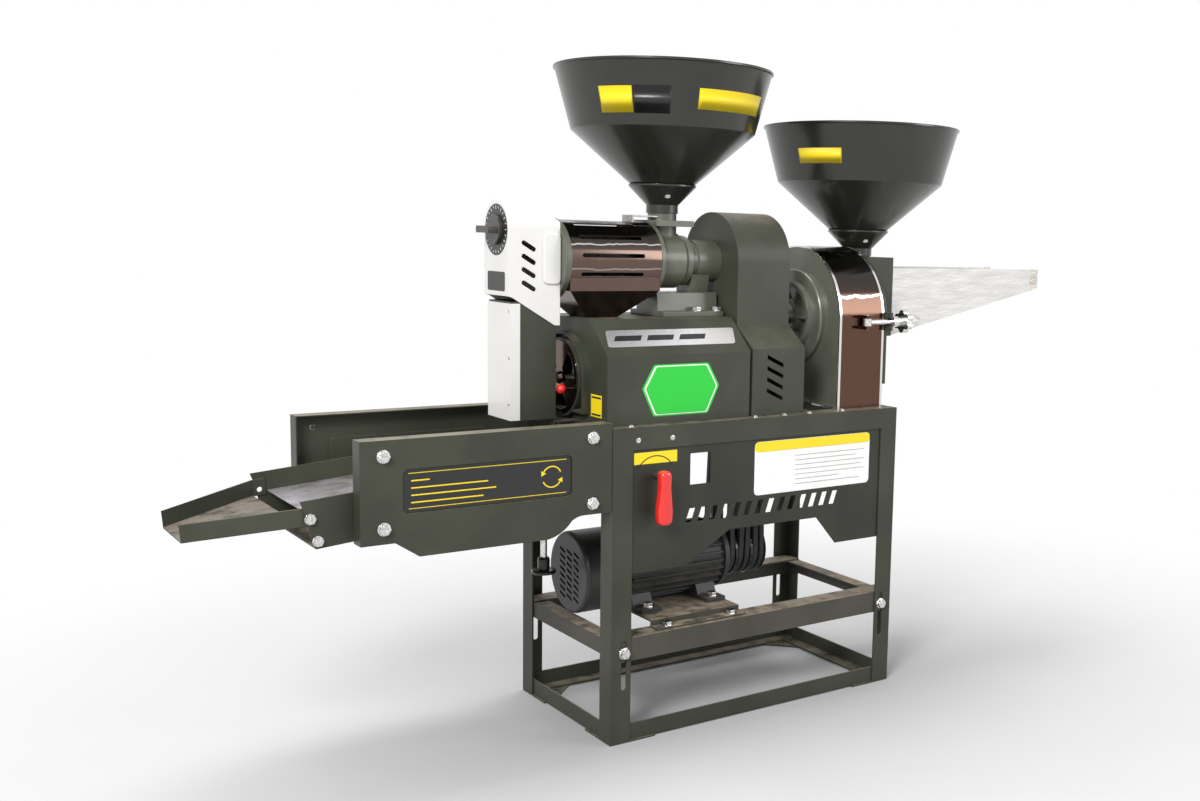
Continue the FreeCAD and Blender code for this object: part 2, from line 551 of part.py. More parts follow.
def build_motor():
    """Base plate, finned body on its feet, slotted fan cowl, rotor with fan, and pulley."""
    plate = new_body("plate")
    foot, top = "rail_top", "rail_top + plate_rise + plate_wall"
    far = "plate_half + plate_wall + plate_flange"
    pad(plate, "x", [[("-(%s)" % far, foot), ("-plate_half", foot),
                      ("-plate_half", "rail_top + plate_rise"),
                      ("plate_half", "rail_top + plate_rise"), ("plate_half", foot), (far, foot),
                      (far, "rail_top + plate_wall"),
                      ("plate_half + plate_wall", "rail_top + plate_wall"),
                      ("plate_half + plate_wall", top), ("-plate_half - plate_wall", top),
                      ("-plate_half - plate_wall", "rail_top + plate_wall"),
                      ("-(%s)" % far, "rail_top + plate_wall")]],
        "plate_left", "plate_right - plate_left")
    holes = [("circle", across, side, "bolt_radius + hole_fit")
             for across in ("rail_bolt_left", "rail_bolt_right")
             for side in ("-rail_bolt_side", "rail_bolt_side")]
    holes += [("circle", across, side, "bolt_radius + hole_fit")
              for across in ("foot_left", "foot_right") for side in ("-foot_bolt", "foot_bolt")]
    pocket(plate, "z", holes, "rail_top - 1", "plate_rise + 2 * plate_wall")
    keep(plate, "motor_plate")

    body = new_body("motor", ("0", "0", "motor_axis"))
    turn(body, "x", [[("motor_left", "motor_shaft + running_fit"),
                      ("motor_left", "cowl_radius - cowl_wall - seat_gap"),
                      ("motor_left + 10", "cowl_radius - cowl_wall - seat_gap"),
                      ("motor_left + 16", "motor_root"), ("-12", "motor_root"),
                      ("-12", "motor_root + 8"), ("-2", "motor_root + 8"), ("0", "motor_root"),
                      ("0", "motor_shaft + running_fit")]])
    fin = pad(body, "x", [rectangle("-fin_wall / 2", "motor_root - 2", "fin_wall / 2",
                                    "motor_root + fin_height")],
              "motor_left + 22", "-motor_left - 40")
    repeat_round(body, fin, "x", "fin_count")
    sole = "rail_top + plate_rise + plate_wall - motor_axis"
    for middle in ("foot_left", "foot_right"):
        pad(body, "x", [[("-foot_reach", sole), ("foot_reach", sole),
                         ("foot_reach", sole + " + foot_height"),
                         ("foot_reach * 0.66", sole + " + foot_height"),
                         ("motor_root * 0.8", "-motor_root * 0.55"),
                         ("-motor_root * 0.8", "-motor_root * 0.55"),
                         ("-foot_reach * 0.66", sole + " + foot_height"),
                         ("-foot_reach", sole + " + foot_height")]],
            middle + " - foot_length / 2", "foot_length")
    pad(body, "x", [rectangle("motor_root - 12", "-28", "motor_root + 44", "30")], "-172", "92")
    pad(body, "x", [("circle", "motor_root + 22", "0", "11")], "-80", "16")
    turn(body, "x", [rectangle("motor_left + motor_shield", "0", "-motor_shield",
                               "motor_bore")], cut=True)
    pocket(body, "z", [("circle", across, side, "bolt_radius + hole_fit")
                       for across in ("foot_left", "foot_right")
                       for side in ("-foot_bolt", "foot_bolt")],
           sole + " - 1", "foot_height + 2")
    keep(body, "motor_body")

    cowl = new_body("cowl", ("0", "0", "motor_axis"))
    edge = "cowl_radius - 8"
    turn(cowl, "x", [[("cowl_left", "0"), ("cowl_left", edge),
                      ("cowl_left + 8", "cowl_radius", "8", -1), ("cowl_right", "cowl_radius"),
                      ("cowl_right", "cowl_radius - cowl_wall"),
                      ("cowl_left + 8", "cowl_radius - cowl_wall"),
                      ("cowl_left + cowl_wall", edge, "8 - cowl_wall", 1),
                      ("cowl_left + cowl_wall", "0")]])
    slots = []
    for side in (-40, -14, 12):
        slots += [[("%d" % side, "%d" % level), ("%d" % (side + 20), "%d" % (level + 7)),
                   ("%d" % (side + 20), "%d" % (level + 12)), ("%d" % side, "%d" % (level + 5))]
                  for level in range(-52, 44, 12)]
    pocket(cowl, "x", slots, "cowl_left - 1", "cowl_wall + 2")
    keep(cowl, "motor_cowl")

    rotor = new_body("rotor", ("0", "0", "motor_axis"))
    turn(rotor, "x", [[("cowl_left + 12", "0"), ("cowl_left + 12", "motor_shaft"),
                       ("cowl_left + 22", "motor_shaft"), ("cowl_left + 22", "22"),
                       ("cowl_left + 60", "30"), ("cowl_left + 62", "30"),
                       ("cowl_left + 62", "motor_shaft"),
                       ("motor_left + motor_shield + 20", "motor_shaft"),
                       ("motor_left + motor_shield + 20", "motor_bore - 0.6"),
                       ("-motor_shield - 20", "motor_bore - 0.6"),
                       ("-motor_shield - 20", "motor_shaft"),
                       ("crusher_belt_two + pulley_edge", "motor_shaft"),
                       ("crusher_belt_two + pulley_edge", "0")]])
    blade = pad(rotor, "y", [rectangle("cowl_left + 26", "18", "cowl_left + 56", "66")],
                "-1.5", "3")
    repeat_round(rotor, blade, "x", "blade_count")
    keep(rotor, "motor_rotor")


build_motor()


# ---- belt drive ------------------------------------------------------------------------------


def pulley(name, level, radius, bore, belts, start, stop):
    """Turn a pulley with one V groove for each belt."""
    body = new_body(name, ("0", "0", level))
    rim = [(start, "(%s) + running_fit" % bore), (start, radius)]
    for belt in belts:
        half, deep = "(%s) - belt_width / 2" % belt, "(%s) + belt_width / 2" % belt
        rim += [(half + " - groove_flare - 0.4", radius), (half + " - 0.4", radius + " - groove_depth"),
                (deep + " + 0.4", radius + " - groove_depth"),
                (deep + " + groove_flare + 0.4", radius)]
    rim += [(stop, radius), (stop, "(%s) + running_fit" % bore)]
    turn(body, "x", [rim])
    return keep(body, name)


def belt(middle, low_level, low_radius, high_level, high_radius):
    """Run a belt round two pulleys, whose groove floors it clears by the seat gap."""
    body = new_body("belt")
    loops = []
    for extra in ("seat_gap", "seat_gap + belt_thick"):
        low = "(%s - groove_depth + %s)" % (low_radius, extra)
        high = "(%s - groove_depth + %s)" % (high_radius, extra)
        sine = "((%s - %s) / (%s - %s))" % (low, high, high_level, low_level)
        cosine = "sqrt(1 - %s ^ 2)" % sine
        low_y, low_z = "%s * %s" % (low, cosine), "%s + %s * %s" % (low_level, low, sine)
        high_y, high_z = "%s * %s" % (high, cosine), "%s + %s * %s" % (high_level, high, sine)
        loops.append([("0", "%s - %s" % (low_level, low), low, 1), (low_y, low_z, low, 1),
                      (high_y, high_z), ("0", "%s + %s" % (high_level, high), high, 1),
                      ("-(%s)" % high_y, high_z, high, 1), ("-(%s)" % low_y, low_z)])
    pad(body, "x", loops, "%s - belt_width / 2" % middle, "belt_width")
    return body


def build_drive():
    """Pulleys, belts and the sheet guard over them."""
    pulley("motor_pulley", "motor_axis", "motor_pulley", "motor_shaft",
           ["blower_belt", "mill_belt_one", "mill_belt_two", "crusher_belt_one",
            "crusher_belt_two"],
           "blower_belt - pulley_edge", "crusher_belt_two + pulley_edge")
    pulley("mill_pulley", "mill_axis", "mill_pulley", "mill_shaft",
           ["mill_belt_one", "mill_belt_two"],
           "mill_belt_one - pulley_edge", "mill_belt_two + pulley_edge")
    pulley("blower_pulley", "blower_axis", "blower_pulley", "blower_shaft", ["blower_belt"],
           "blower_belt - pulley_edge", "blower_belt + pulley_edge")
    pulley("crusher_pulley", "crusher_axis", "crusher_pulley", "mill_shaft",
           ["crusher_belt_one", "crusher_belt_two"],
           "crusher_belt_one - pulley_edge", "crusher_belt_two + pulley_edge")
    keep(group([belt(middle, "motor_axis", "motor_pulley", "mill_axis", "mill_pulley")
                for middle in ("mill_belt_one", "mill_belt_two")]), "mill_belts")
    keep(group([belt(middle, "motor_axis", "motor_pulley", "crusher_axis", "crusher_pulley")
                for middle in ("crusher_belt_one", "crusher_belt_two")]), "crusher_belts")
    keep(belt("blower_belt", "motor_axis", "motor_pulley", "blower_axis", "blower_pulley"),
         "blower_belt_loop")

    guard = new_body("guard")

    def section(shrink):
        """Section of the guard, smaller all round by a wall or by nothing."""
        half, arch = "(guard_half - %s)" % shrink, "(guard_arch - %s)" % shrink
        knee, shoulder = "guard_knee", "guard_shoulder"
        return [("-" + half, "frame_height"), (half, "frame_height"), (half, knee),
                (arch, shoulder), (arch, "mill_axis"), ("0", "mill_axis + " + arch, arch, 1),
                ("-" + arch, "mill_axis", arch, 1), ("-" + arch, shoulder), ("-" + half, knee)]

    pad(guard, "x", [section("0")], "guard_left", "guard_right - guard_left")
    pocket(guard, "x", [section("guard_wall")], "guard_left + guard_wall",
           "guard_right - guard_left - 2 * guard_wall")
    pocket(guard, "x", [("circle", "0", "mill_axis", "housing_radius + seat_gap"),
                        ("circle", "0", "blower_axis", "blower_shaft + 3")],
           "guard_left - 1", "guard_wall + 2")
    pocket(guard, "x", [("circle", "0", "crusher_axis", "mill_shaft + 3")],
           "guard_right - guard_wall - 1", "guard_wall + 2")
    louvre = pocket(guard, "y", [[("guard_left + 34", "blower_axis - 30"),
                                  ("guard_left + 72", "blower_axis - 48"),
                                  ("guard_left + 72", "blower_axis - 40"),
                                  ("guard_left + 34", "blower_axis - 22")]],
                    "-guard_half - 1", "guard_wall + 2")
    repeat_along(guard, louvre, "z", "63", "slot_count")
    keep(guard, "belt_guard")


build_drive()


# ---- blower ----------------------------------------------------------------------------------


def build_blower():
    """Blower casing with its mouth, impeller on its shaft, and rotary air damper."""
    casing = new_body("casing")

    def section(shrink):
        """Section of the casing, smaller all round by a wall or by nothing."""
        return [("-(blower_half - %s)" % shrink, "frame_height + %s" % shrink),
                ("blower_back - %s" % shrink, "frame_height + %s" % shrink),
                ("blower_back - %s" % shrink, "blower_top - %s" % shrink),
                ("blower_top_front + 0.4 * %s" % shrink, "blower_top - %s" % shrink),
                ("-(blower_half - %s)" % shrink, "blower_brow - 0.4 * %s" % shrink)]

    pad(casing, "x", [section("0")], "blower_left", "blower_right - blower_left")
    pocket(casing, "x", [section("blower_wall")], "blower_left + blower_wall",
           "blower_right - blower_left - 2 * blower_wall")

    def collar(shrink):
        """Arched outline of the collar round the mouth, smaller all round by a formula."""
        radius, low = "(collar_radius - %s)" % shrink, "frame_height + collar_rise + %s" % shrink
        return [("-" + radius, low), (radius, low), (radius, "blower_axis"),
                ("0", "blower_axis + " + radius, radius, 1), ("-" + radius, "blower_axis", radius, 1)]

    pad(casing, "x", [collar("0"), collar("collar_wall")], "blower_left - collar_depth",
        "collar_depth")
    pad(casing, "x", [("circle", "0", "blower_axis", "mouth_radius"),
                      ("circle", "0", "blower_axis", "mouth_hole")],
        "blower_left - collar_depth", "collar_depth")
    pad(casing, "x", [rectangle("-mouth_hole - 2", "blower_axis - 5", "mouth_hole + 2",
                                "blower_axis + 5")],
        "blower_left - collar_depth", "blower_wall")
    pocket(casing, "x", [("circle", "0", "blower_axis", "mouth_hole")], "blower_left - 0.1",
           "blower_wall + 0.2")
    pad(casing, "x", [("circle", "0", "blower_axis", "mill_bearing + 6")],
        "blower_right - 75", "75")
    pocket(casing, "x", [("circle", "0", "blower_axis", "blower_shaft + 6")],
           "blower_right - 76", "80")
    for start in ("blower_right - 76", "blower_right - bearing_width - 1"):
        pocket(casing, "x", [("circle", "0", "blower_axis", "mill_bearing - 6 + running_fit")],
               start, "bearing_width + 1.5")
    pocket(casing, "x", [("circle", "0", "blower_axis", "3 + running_fit")],
           "blower_left - collar_depth - 1", "blower_wall + 2")
    pocket(casing, "z", [rectangle("funnel_left + 3", "-funnel_half + 3", "funnel_right - 3",
                                   "funnel_half - 3")], "blower_top - blower_wall - 1", "blower_wall + 2")
    pad(casing, "y", [("circle", "(blower_left + blower_right) / 2", "blower_axis",
                       "outlet_radius")], "blower_back", "outlet_length")
    pocket(casing, "y", [("circle", "(blower_left + blower_right) / 2", "blower_axis",
                          "outlet_radius - blower_wall")], "blower_back - blower_wall - 1",
           "outlet_length + blower_wall + 2")
    keep(casing, "blower_casing")

    impeller = new_body("impeller", ("0", "0", "blower_axis"))
    turn(impeller, "x", [[("impeller_left", "0"), ("impeller_left", "blower_shaft + 6"),
                          ("impeller_right", "blower_shaft + 10"),
                          ("impeller_right", "impeller_radius"),
                          ("impeller_right + 3", "impeller_radius"),
                          ("impeller_right + 3", "blower_shaft"),
                          ("blower_belt + pulley_edge", "blower_shaft"),
                          ("blower_belt + pulley_edge", "0")]])
    blade = pad(impeller, "y", [[("impeller_left", "14"), ("impeller_right + 1", "14"),
                                 ("impeller_right + 1", "impeller_radius"),
                                 ("impeller_left + 12", "impeller_radius")]], "-1.5", "3")
    repeat_round(impeller, blade, "x", "blade_count")
    keep(impeller, "blower_impeller")

    damper = new_body("damper", ("0", "0", "blower_axis"))
    face = "blower_left - collar_depth - damper_wall - seat_gap"
    pad(damper, "x", [("circle", "0", "0", "damper_radius")], face, "damper_wall")
    window = pocket(damper, "x", [[("-10", "-18"), ("-26", "-50"), ("26", "-50", "56", 1),
                                   ("10", "-18")]], face + " - 1", "damper_wall + 2")
    repeat_round(damper, window, "x", "3")
    turn(damper, "x", [[(face + " - 7", "0"), (face + " - 7", "9"), (face, "12"),
                        (face + " + 1", "12"), (face + " + 1", "3"),
                        ("blower_left - 4", "3"), ("blower_left - 4", "0")]])
    pad(damper, "x", [("circle", "-knob_side", "-knob_drop", "knob_stem")],
        face + " - knob_reach", "knob_reach + damper_wall / 2")
    keep(damper, "air_damper")
    knob = new_body("knob", (face + " - knob_reach", "-knob_side", "blower_axis - knob_drop"))
    bore = "(knob_stem + running_fit)"
    turn(knob, "x", [[("-1.5 * knob_radius", "0"),
                      ("sqrt(knob_radius ^ 2 - %s ^ 2) - knob_radius / 2" % bore, bore,
                       "knob_radius", -1), ("-seat_gap", bore), ("-seat_gap", "0")]])
    keep(knob, "damper_knob")


build_blower()


# ---- rice mill -------------------------------------------------------------------------------


def build_mill():
    """Pedestal, bearing housing, shaft and roller, screen, inlet casting, cover and funnel."""
    pedestal = new_body("pedestal")
    saddle = "(housing_radius + seat_gap)"
    rise = "mill_axis - sqrt(%s ^ 2 - 28 ^ 2)" % saddle
    base_top = "blower_top + pedestal_base"
    pad(pedestal, "x", [[("-38", "blower_top"), ("38", "blower_top"), ("36", base_top),
                         ("28", rise), ("-28", rise, saddle, -1), ("-36", base_top)]],
        "housing_left + 31", "46")
    pad(pedestal, "z", [rectangle("housing_left + 4", "-pedestal_half", "2 - 26",
                                  "pedestal_half")]
        + [("circle", across, side, "bolt_radius + hole_fit")
           for across in ("housing_left + 16", "-34")
           for side in ("-pedestal_half + 12", "pedestal_half - 12")],
        "blower_top", "pedestal_base")
    keep(pedestal, "mill_pedestal")

    housing = new_body("housing", ("0", "0", "mill_axis"))
    seat, bore = "mill_bearing + running_fit", "mill_shaft + 5"
    turn(housing, "x", [[("housing_left", seat), ("housing_left", "47"),
                         ("housing_left + 11", "47"), ("housing_left + 11", "36"),
                         ("housing_left + 27", "36"), ("housing_left + 29", "housing_radius"),
                         ("housing_left + 79", "housing_radius"), ("housing_left + 81", "34"),
                         ("housing_right - 8", "34"), ("housing_right - 8", "29"),
                         ("housing_right", "29"), ("housing_right", "mill_shaft + 2"),
                         ("housing_right - 2", "mill_shaft + 2"), ("housing_right - 2", seat),
                         ("housing_right - 2 - bearing_width - 1", seat),
                         ("housing_right - 2 - bearing_width - 1", bore),
                         ("housing_left + bearing_width + 1", bore),
                         ("housing_left + bearing_width + 1", seat)]])
    keep(housing, "mill_bearing_housing")

    shaft = new_body("shaft", ("0", "0", "mill_axis"))
    turn(shaft, "x", [[("chamber_left + 4", "0"), ("chamber_left + 4", "mill_shaft - 3"),
                       ("chamber_left + 7", "mill_shaft"),
                       ("mill_belt_two + pulley_edge + 1", "mill_shaft"),
                       ("mill_belt_two + pulley_edge + 1", "0")]])
    keep(shaft, "mill_shaft")

    roller = new_body("roller", ("0", "0", "mill_axis"))
    turn(roller, "x", [[("chamber_left + 14", "mill_shaft + running_fit"),
                        ("chamber_left + 14", "roller_radius - 8"),
                        ("chamber_left + 26", "roller_radius"),
                        ("chamber_right - 6", "roller_radius"), ("chamber_right - 6", "26"),
                        ("housing_left - 9", "26"),
                        ("housing_left - 9", "mill_shaft + running_fit")]])
    rib = pad(roller, "y", [rectangle("chamber_left + 30", "roller_radius - 2",
                                      "chamber_right - 10", "roller_radius + 5")], "-4", "8")
    repeat_round(roller, rib, "x", "4")
    keep(roller, "mill_roller")

    screen = new_body("screen", ("0", "0", "mill_axis"))
    corners = []
    for shrink in ("0", "screen_wall"):
        ring = "(screen_radius - %s)" % shrink
        corners.append([("%s * %.4f" % (ring, math.cos(math.radians(angle))),
                         "%s * %.4f" % (ring, math.sin(math.radians(angle))))
                        for angle in range(0, 360, 60)])
    pad(screen, "x", corners, "chamber_left + 3", "chamber_right - chamber_left - 6")
    keep(screen, "mill_screen")

    flange = "chamber_radius + 0.5"
    barrel = new_body("barrel", ("0", "0", "mill_axis"))
    turn(barrel, "x", [[("chamber_right", "inlet_bore"), ("chamber_right", flange),
                        ("chamber_right + 8", flange), ("chamber_right + 8", "inlet_barrel"),
                        ("housing_left - 8", "inlet_barrel"), ("housing_left - 1", "47"),
                        ("housing_left - 0.3", "47"), ("housing_left - 0.3", "mill_shaft + 2"),
                        ("housing_left - 8", "mill_shaft + 2"), ("housing_left - 8", "inlet_bore")]])
    neck = rod("z", 1, ("inlet_centre", "0", "mill_axis + 30"), "neck_radius",
               "neck_top - mill_axis - 30")
    plate = box(("inlet_centre - 37", "-neck_flange", "flange_low"),
                ("inlet_centre + 45", "neck_flange", "flange_low + flange_wall"))
    bore = rod("z", 1, ("inlet_centre", "0", "mill_axis + 10"), "neck_bore", "150")
    gate_slot = box(("inlet_centre - 60", "-gate_half - 0.4", "gate_level - 0.4"),
                    ("inlet_centre + neck_bore + 3", "gate_half + 0.4",
                     "gate_level + gate_wall + 0.4"))
    keep(cut(cut(join([barrel, neck, plate]), bore), gate_slot), "mill_inlet")

    gate = new_body("gate")
    pad(gate, "z", [[("inlet_centre - 72", "-gate_half"), ("inlet_centre + 4", "-gate_half"),
                     ("inlet_centre + 4", "gate_half", "gate_half + 1", 1),
                     ("inlet_centre - 72", "gate_half")]], "gate_level", "gate_wall")
    pad(gate, "z", [rectangle("inlet_centre - 75", "-gate_half", "inlet_centre - 72",
                              "gate_half")], "gate_level - 9", "gate_wall + 9")
    keep(gate, "mill_gate")

    cover = new_body("cover", ("0", "0", "mill_axis"))

    def half_side(radius):
        """Half the width of the cover at its lower edge, for one radius."""
        return "sqrt((%s) ^ 2 - chamber_split ^ 2)" % radius

    outer, inner = "chamber_radius", "(chamber_radius - chamber_wall)"
    low = "-chamber_split"
    pad(cover, "x", [[(half_side(outer), low), ("0", outer, outer, 1),
                      ("-" + half_side(outer), low, outer, 1), ("-" + half_side(inner), low),
                      ("0", inner, inner, -1), (half_side(inner), low, inner, -1)]],
        "chamber_left + 0.3", "chamber_right - chamber_left - 0.6")
    slot = pocket(cover, "z", [level_slot("chamber_left + 24", "chamber_right - 40", "0", "3.5")],
                  "chamber_radius - 10", "14")
    repeat_round(cover, slot, "x", "cover_slots")
    keep(cover, "mill_chamber_cover")

    funnel = new_body("funnel")
    mouth = "mill_axis - chamber_split - seat_gap"
    left, right = "chamber_left + seat_gap", "chamber_right - seat_gap"
    wide = half_side(outer)
    upper = rectangle(left, "-" + wide, right, wide)
    pad(funnel, "z", [upper], "funnel_bend", mouth + " - funnel_bend")
    hollow = rectangle(left + " + chamber_wall", "-%s + chamber_wall" % wide,
                       right + " - chamber_wall", wide + " - chamber_wall")
    slope(funnel, "z", upper, "funnel_bend",
          rectangle("funnel_left", "-funnel_half", "funnel_right", "funnel_half"), "blower_top")
    pocket(funnel, "z", [hollow], "funnel_bend", mouth + " - funnel_bend + 1")
    slope(funnel, "z", hollow, "funnel_bend",
          rectangle("funnel_left + chamber_wall", "-funnel_half + chamber_wall",
                    "funnel_right - chamber_wall", "funnel_half - chamber_wall"), "blower_top",
          cut=True)
    keep(funnel, "mill_funnel")

    flange_body = new_body("end_flange", ("0", "0", "mill_axis"))
    turn(flange_body, "x", [[("head_right + 0.3", "roller_radius + 4"),
                             ("head_right + 0.3", "chamber_radius + 2"),
                             ("chamber_left - 0.3", "chamber_radius + 2"),
                             ("chamber_left - 0.3", "roller_radius + 4")]])
    keep(flange_body, "mill_end_flange")


build_mill()


# ---- head, outlet and rice column ------------------------------------------------------------


def build_head():
    """White head cover, dial knob, spring-loaded outlet plate, and the rice column below."""
    outer = []
    for shrink in ("0", "head_wall"):
        half = "(head_half - %s)" % shrink
        across = new_body("across")
        middle = "head_top - head_half"
        pad(across, "x", [[("-" + half, "head_low_right - 33"), (half, "head_low_right - 33"),
                           (half, middle), ("0", middle + " + " + half, half, 1),
                           ("-" + half, middle, half, 1)]],
            "head_left + " + shrink, "head_right - head_left")
        along = new_body("along")
        pad(along, "y", [[("head_left + " + shrink, "head_low - %s" % shrink),
                          ("head_left + 20", "head_low - 6 - %s" % shrink),
                          ("head_right + 10", "head_low_right - 4 - %s" % shrink),
                          ("head_right + 10", "head_top - 22 - %s" % shrink),
                          ("head_slope", "head_top - %s" % shrink),
                          ("head_left + " + shrink, "head_top - %s" % shrink)]],
            "-head_half - 1", "2 * head_half + 2")
        common = doc.addObject("Part::Common", "head")
        common.Base, common.Tool = across, along
        outer.append(common)
    boss = rod("x", 1, ("head_left", "0", "mill_axis"), "14", "30")
    hole = rod("x", 1, ("head_left + 8", "0", "mill_axis"), "8 + running_fit", "40")
    dial_hole = rod("x", 1, ("head_left - 1", "0", "dial_level"), "6 + running_fit", "10")
    shell = join([cut(outer[0], outer[1]), boss])
    louvres = [box(("head_left + 14 + %d" % (n * 13), "-head_half - 2",
                    "mill_axis - 31"),
                   ("head_left + 19 + %d" % (n * 13), "-head_half + head_wall + 1",
                    "mill_axis + 13"))
               for n in range(4)]
    shell = cut(cut(shell, hole), dial_hole)
    keep(cut(shell, join(louvres)), "head_cover")

    dial = new_body("dial", ("head_left - 0.3", "0", "dial_level"))
    turn(dial, "x", [[("8", "0"), ("8", "6"), ("0", "6"), ("0", "dial_radius"),
                      ("-6", "dial_radius"), ("-7", "dial_radius - 1"), ("-7", "0")]])
    pad(dial, "x", [[("-dial_grip / 2", "-6", "9", 1), ("dial_grip / 2", "-6"),
                     ("dial_grip / 2", "6", "9", 1), ("-dial_grip / 2", "6")]], "-26", "19.5")
    keep(dial, "dial_knob")

    valve = new_body("valve", ("0", "0", "mill_axis"))
    turn(valve, "x", [[("head_left + 16", "0"), ("head_left + 16", "8"), ("head_right - 30", "8"),
                       ("head_right - 28", "14"), ("head_right - 8", "36"),
                       ("head_right - 2", "36"), ("head_right - 2", "0")]])
    keep(valve, "outlet_valve")

    half = "(head_half - head_wall - seat_gap)"
    column = new_body("column")
    pad(column, "z", [rectangle("column_left", "-" + half, "column_right", half),
                      rectangle("column_left + column_wall", "-%s + column_wall" % half,
                                "column_right - column_wall", "%s - column_wall" % half)],
        "column_low", "head_low - column_low - 8")
    end, level = "-%s - seat_gap" % side_x, "frame_height - bracket_wall"
    pad(column, "y", [[("column_right - column_wall", level), ("%s - bracket_wall" % end, level),
                       ("%s - bracket_wall" % end, "frame_height - bracket_drop"),
                       (end, "frame_height - bracket_drop"), (end, "frame_height"),
                       ("column_right", "frame_height"), ("column_right", "column_low + bracket_rise"),
                       ("column_right - column_wall", "column_low + bracket_rise")]],
        "-" + half, "2 * " + half)
    pocket(column, "x", [("circle", "-bracket_bolt", "frame_height - bracket_level",
                          "bolt_radius + hole_fit"),
                         ("circle", "bracket_bolt", "frame_height - bracket_level",
                          "bolt_radius + hole_fit")], end + " - bracket_wall - 1", "bracket_wall + 2")
    keep(column, "rice_column")

    strip = new_body("strip")
    skin, side = "column_left - strip_gap", "(%s + strip_gap)" % half
    out, near = "%s - column_wall" % skin, "(%s + column_wall)" % side
    back = "column_left + strip_return"
    pad(strip, "z", [[(out, "-" + near), (back, "-" + near), (back, "-" + side),
                      (skin, "-" + side), (skin, side), (back, side), (back, near), (out, near)]],
        "column_low + 1", "head_low - column_low - 12")
    keep(strip, "column_front")


build_head()


# ---- hoppers ---------------------------------------------------------------------------------


def hopper(name, centre, neck_top):
    """Spin one hopper bowl with its throat collar, which sleeves over a neck."""
    body = new_body(name, (centre, "0", neck_top))
    sleeve = "(neck_radius + seat_gap)"
    turn(body, "z", [[(sleeve, "-sleeve"), (sleeve + " + 2.5", "-sleeve"),
                      (sleeve + " + 2.5", "0"), ("collar_mouth", "collar_height"),
                      ("collar_mouth", "collar_height + 3"),
                      ("hopper_throat + hopper_wall", "collar_height + 3"),
                      ("hopper_knee", "hopper_knee_height"),
                      ("hopper_rim - 1", "hopper_height - 5"),
                      ("hopper_rim + 2", "hopper_height - 4"), ("hopper_rim + 2", "hopper_height"),
                      ("hopper_rim - hopper_wall - 1", "hopper_height"),
                      ("hopper_rim - hopper_wall - 1", "hopper_height - 5"),
                      ("hopper_knee - hopper_wall", "hopper_knee_height"),
                      ("hopper_throat", "collar_height + 3 + hopper_wall"),
                      ("hopper_throat - 2", "collar_height + 1"), (sleeve, "3")]])
    return keep(body, name)


hopper("mill_hopper", "inlet_centre", "neck_top")
hopper("crusher_hopper", "crusher_neck", "crusher_neck_top")


# ---- crusher ---------------------------------------------------------------------------------


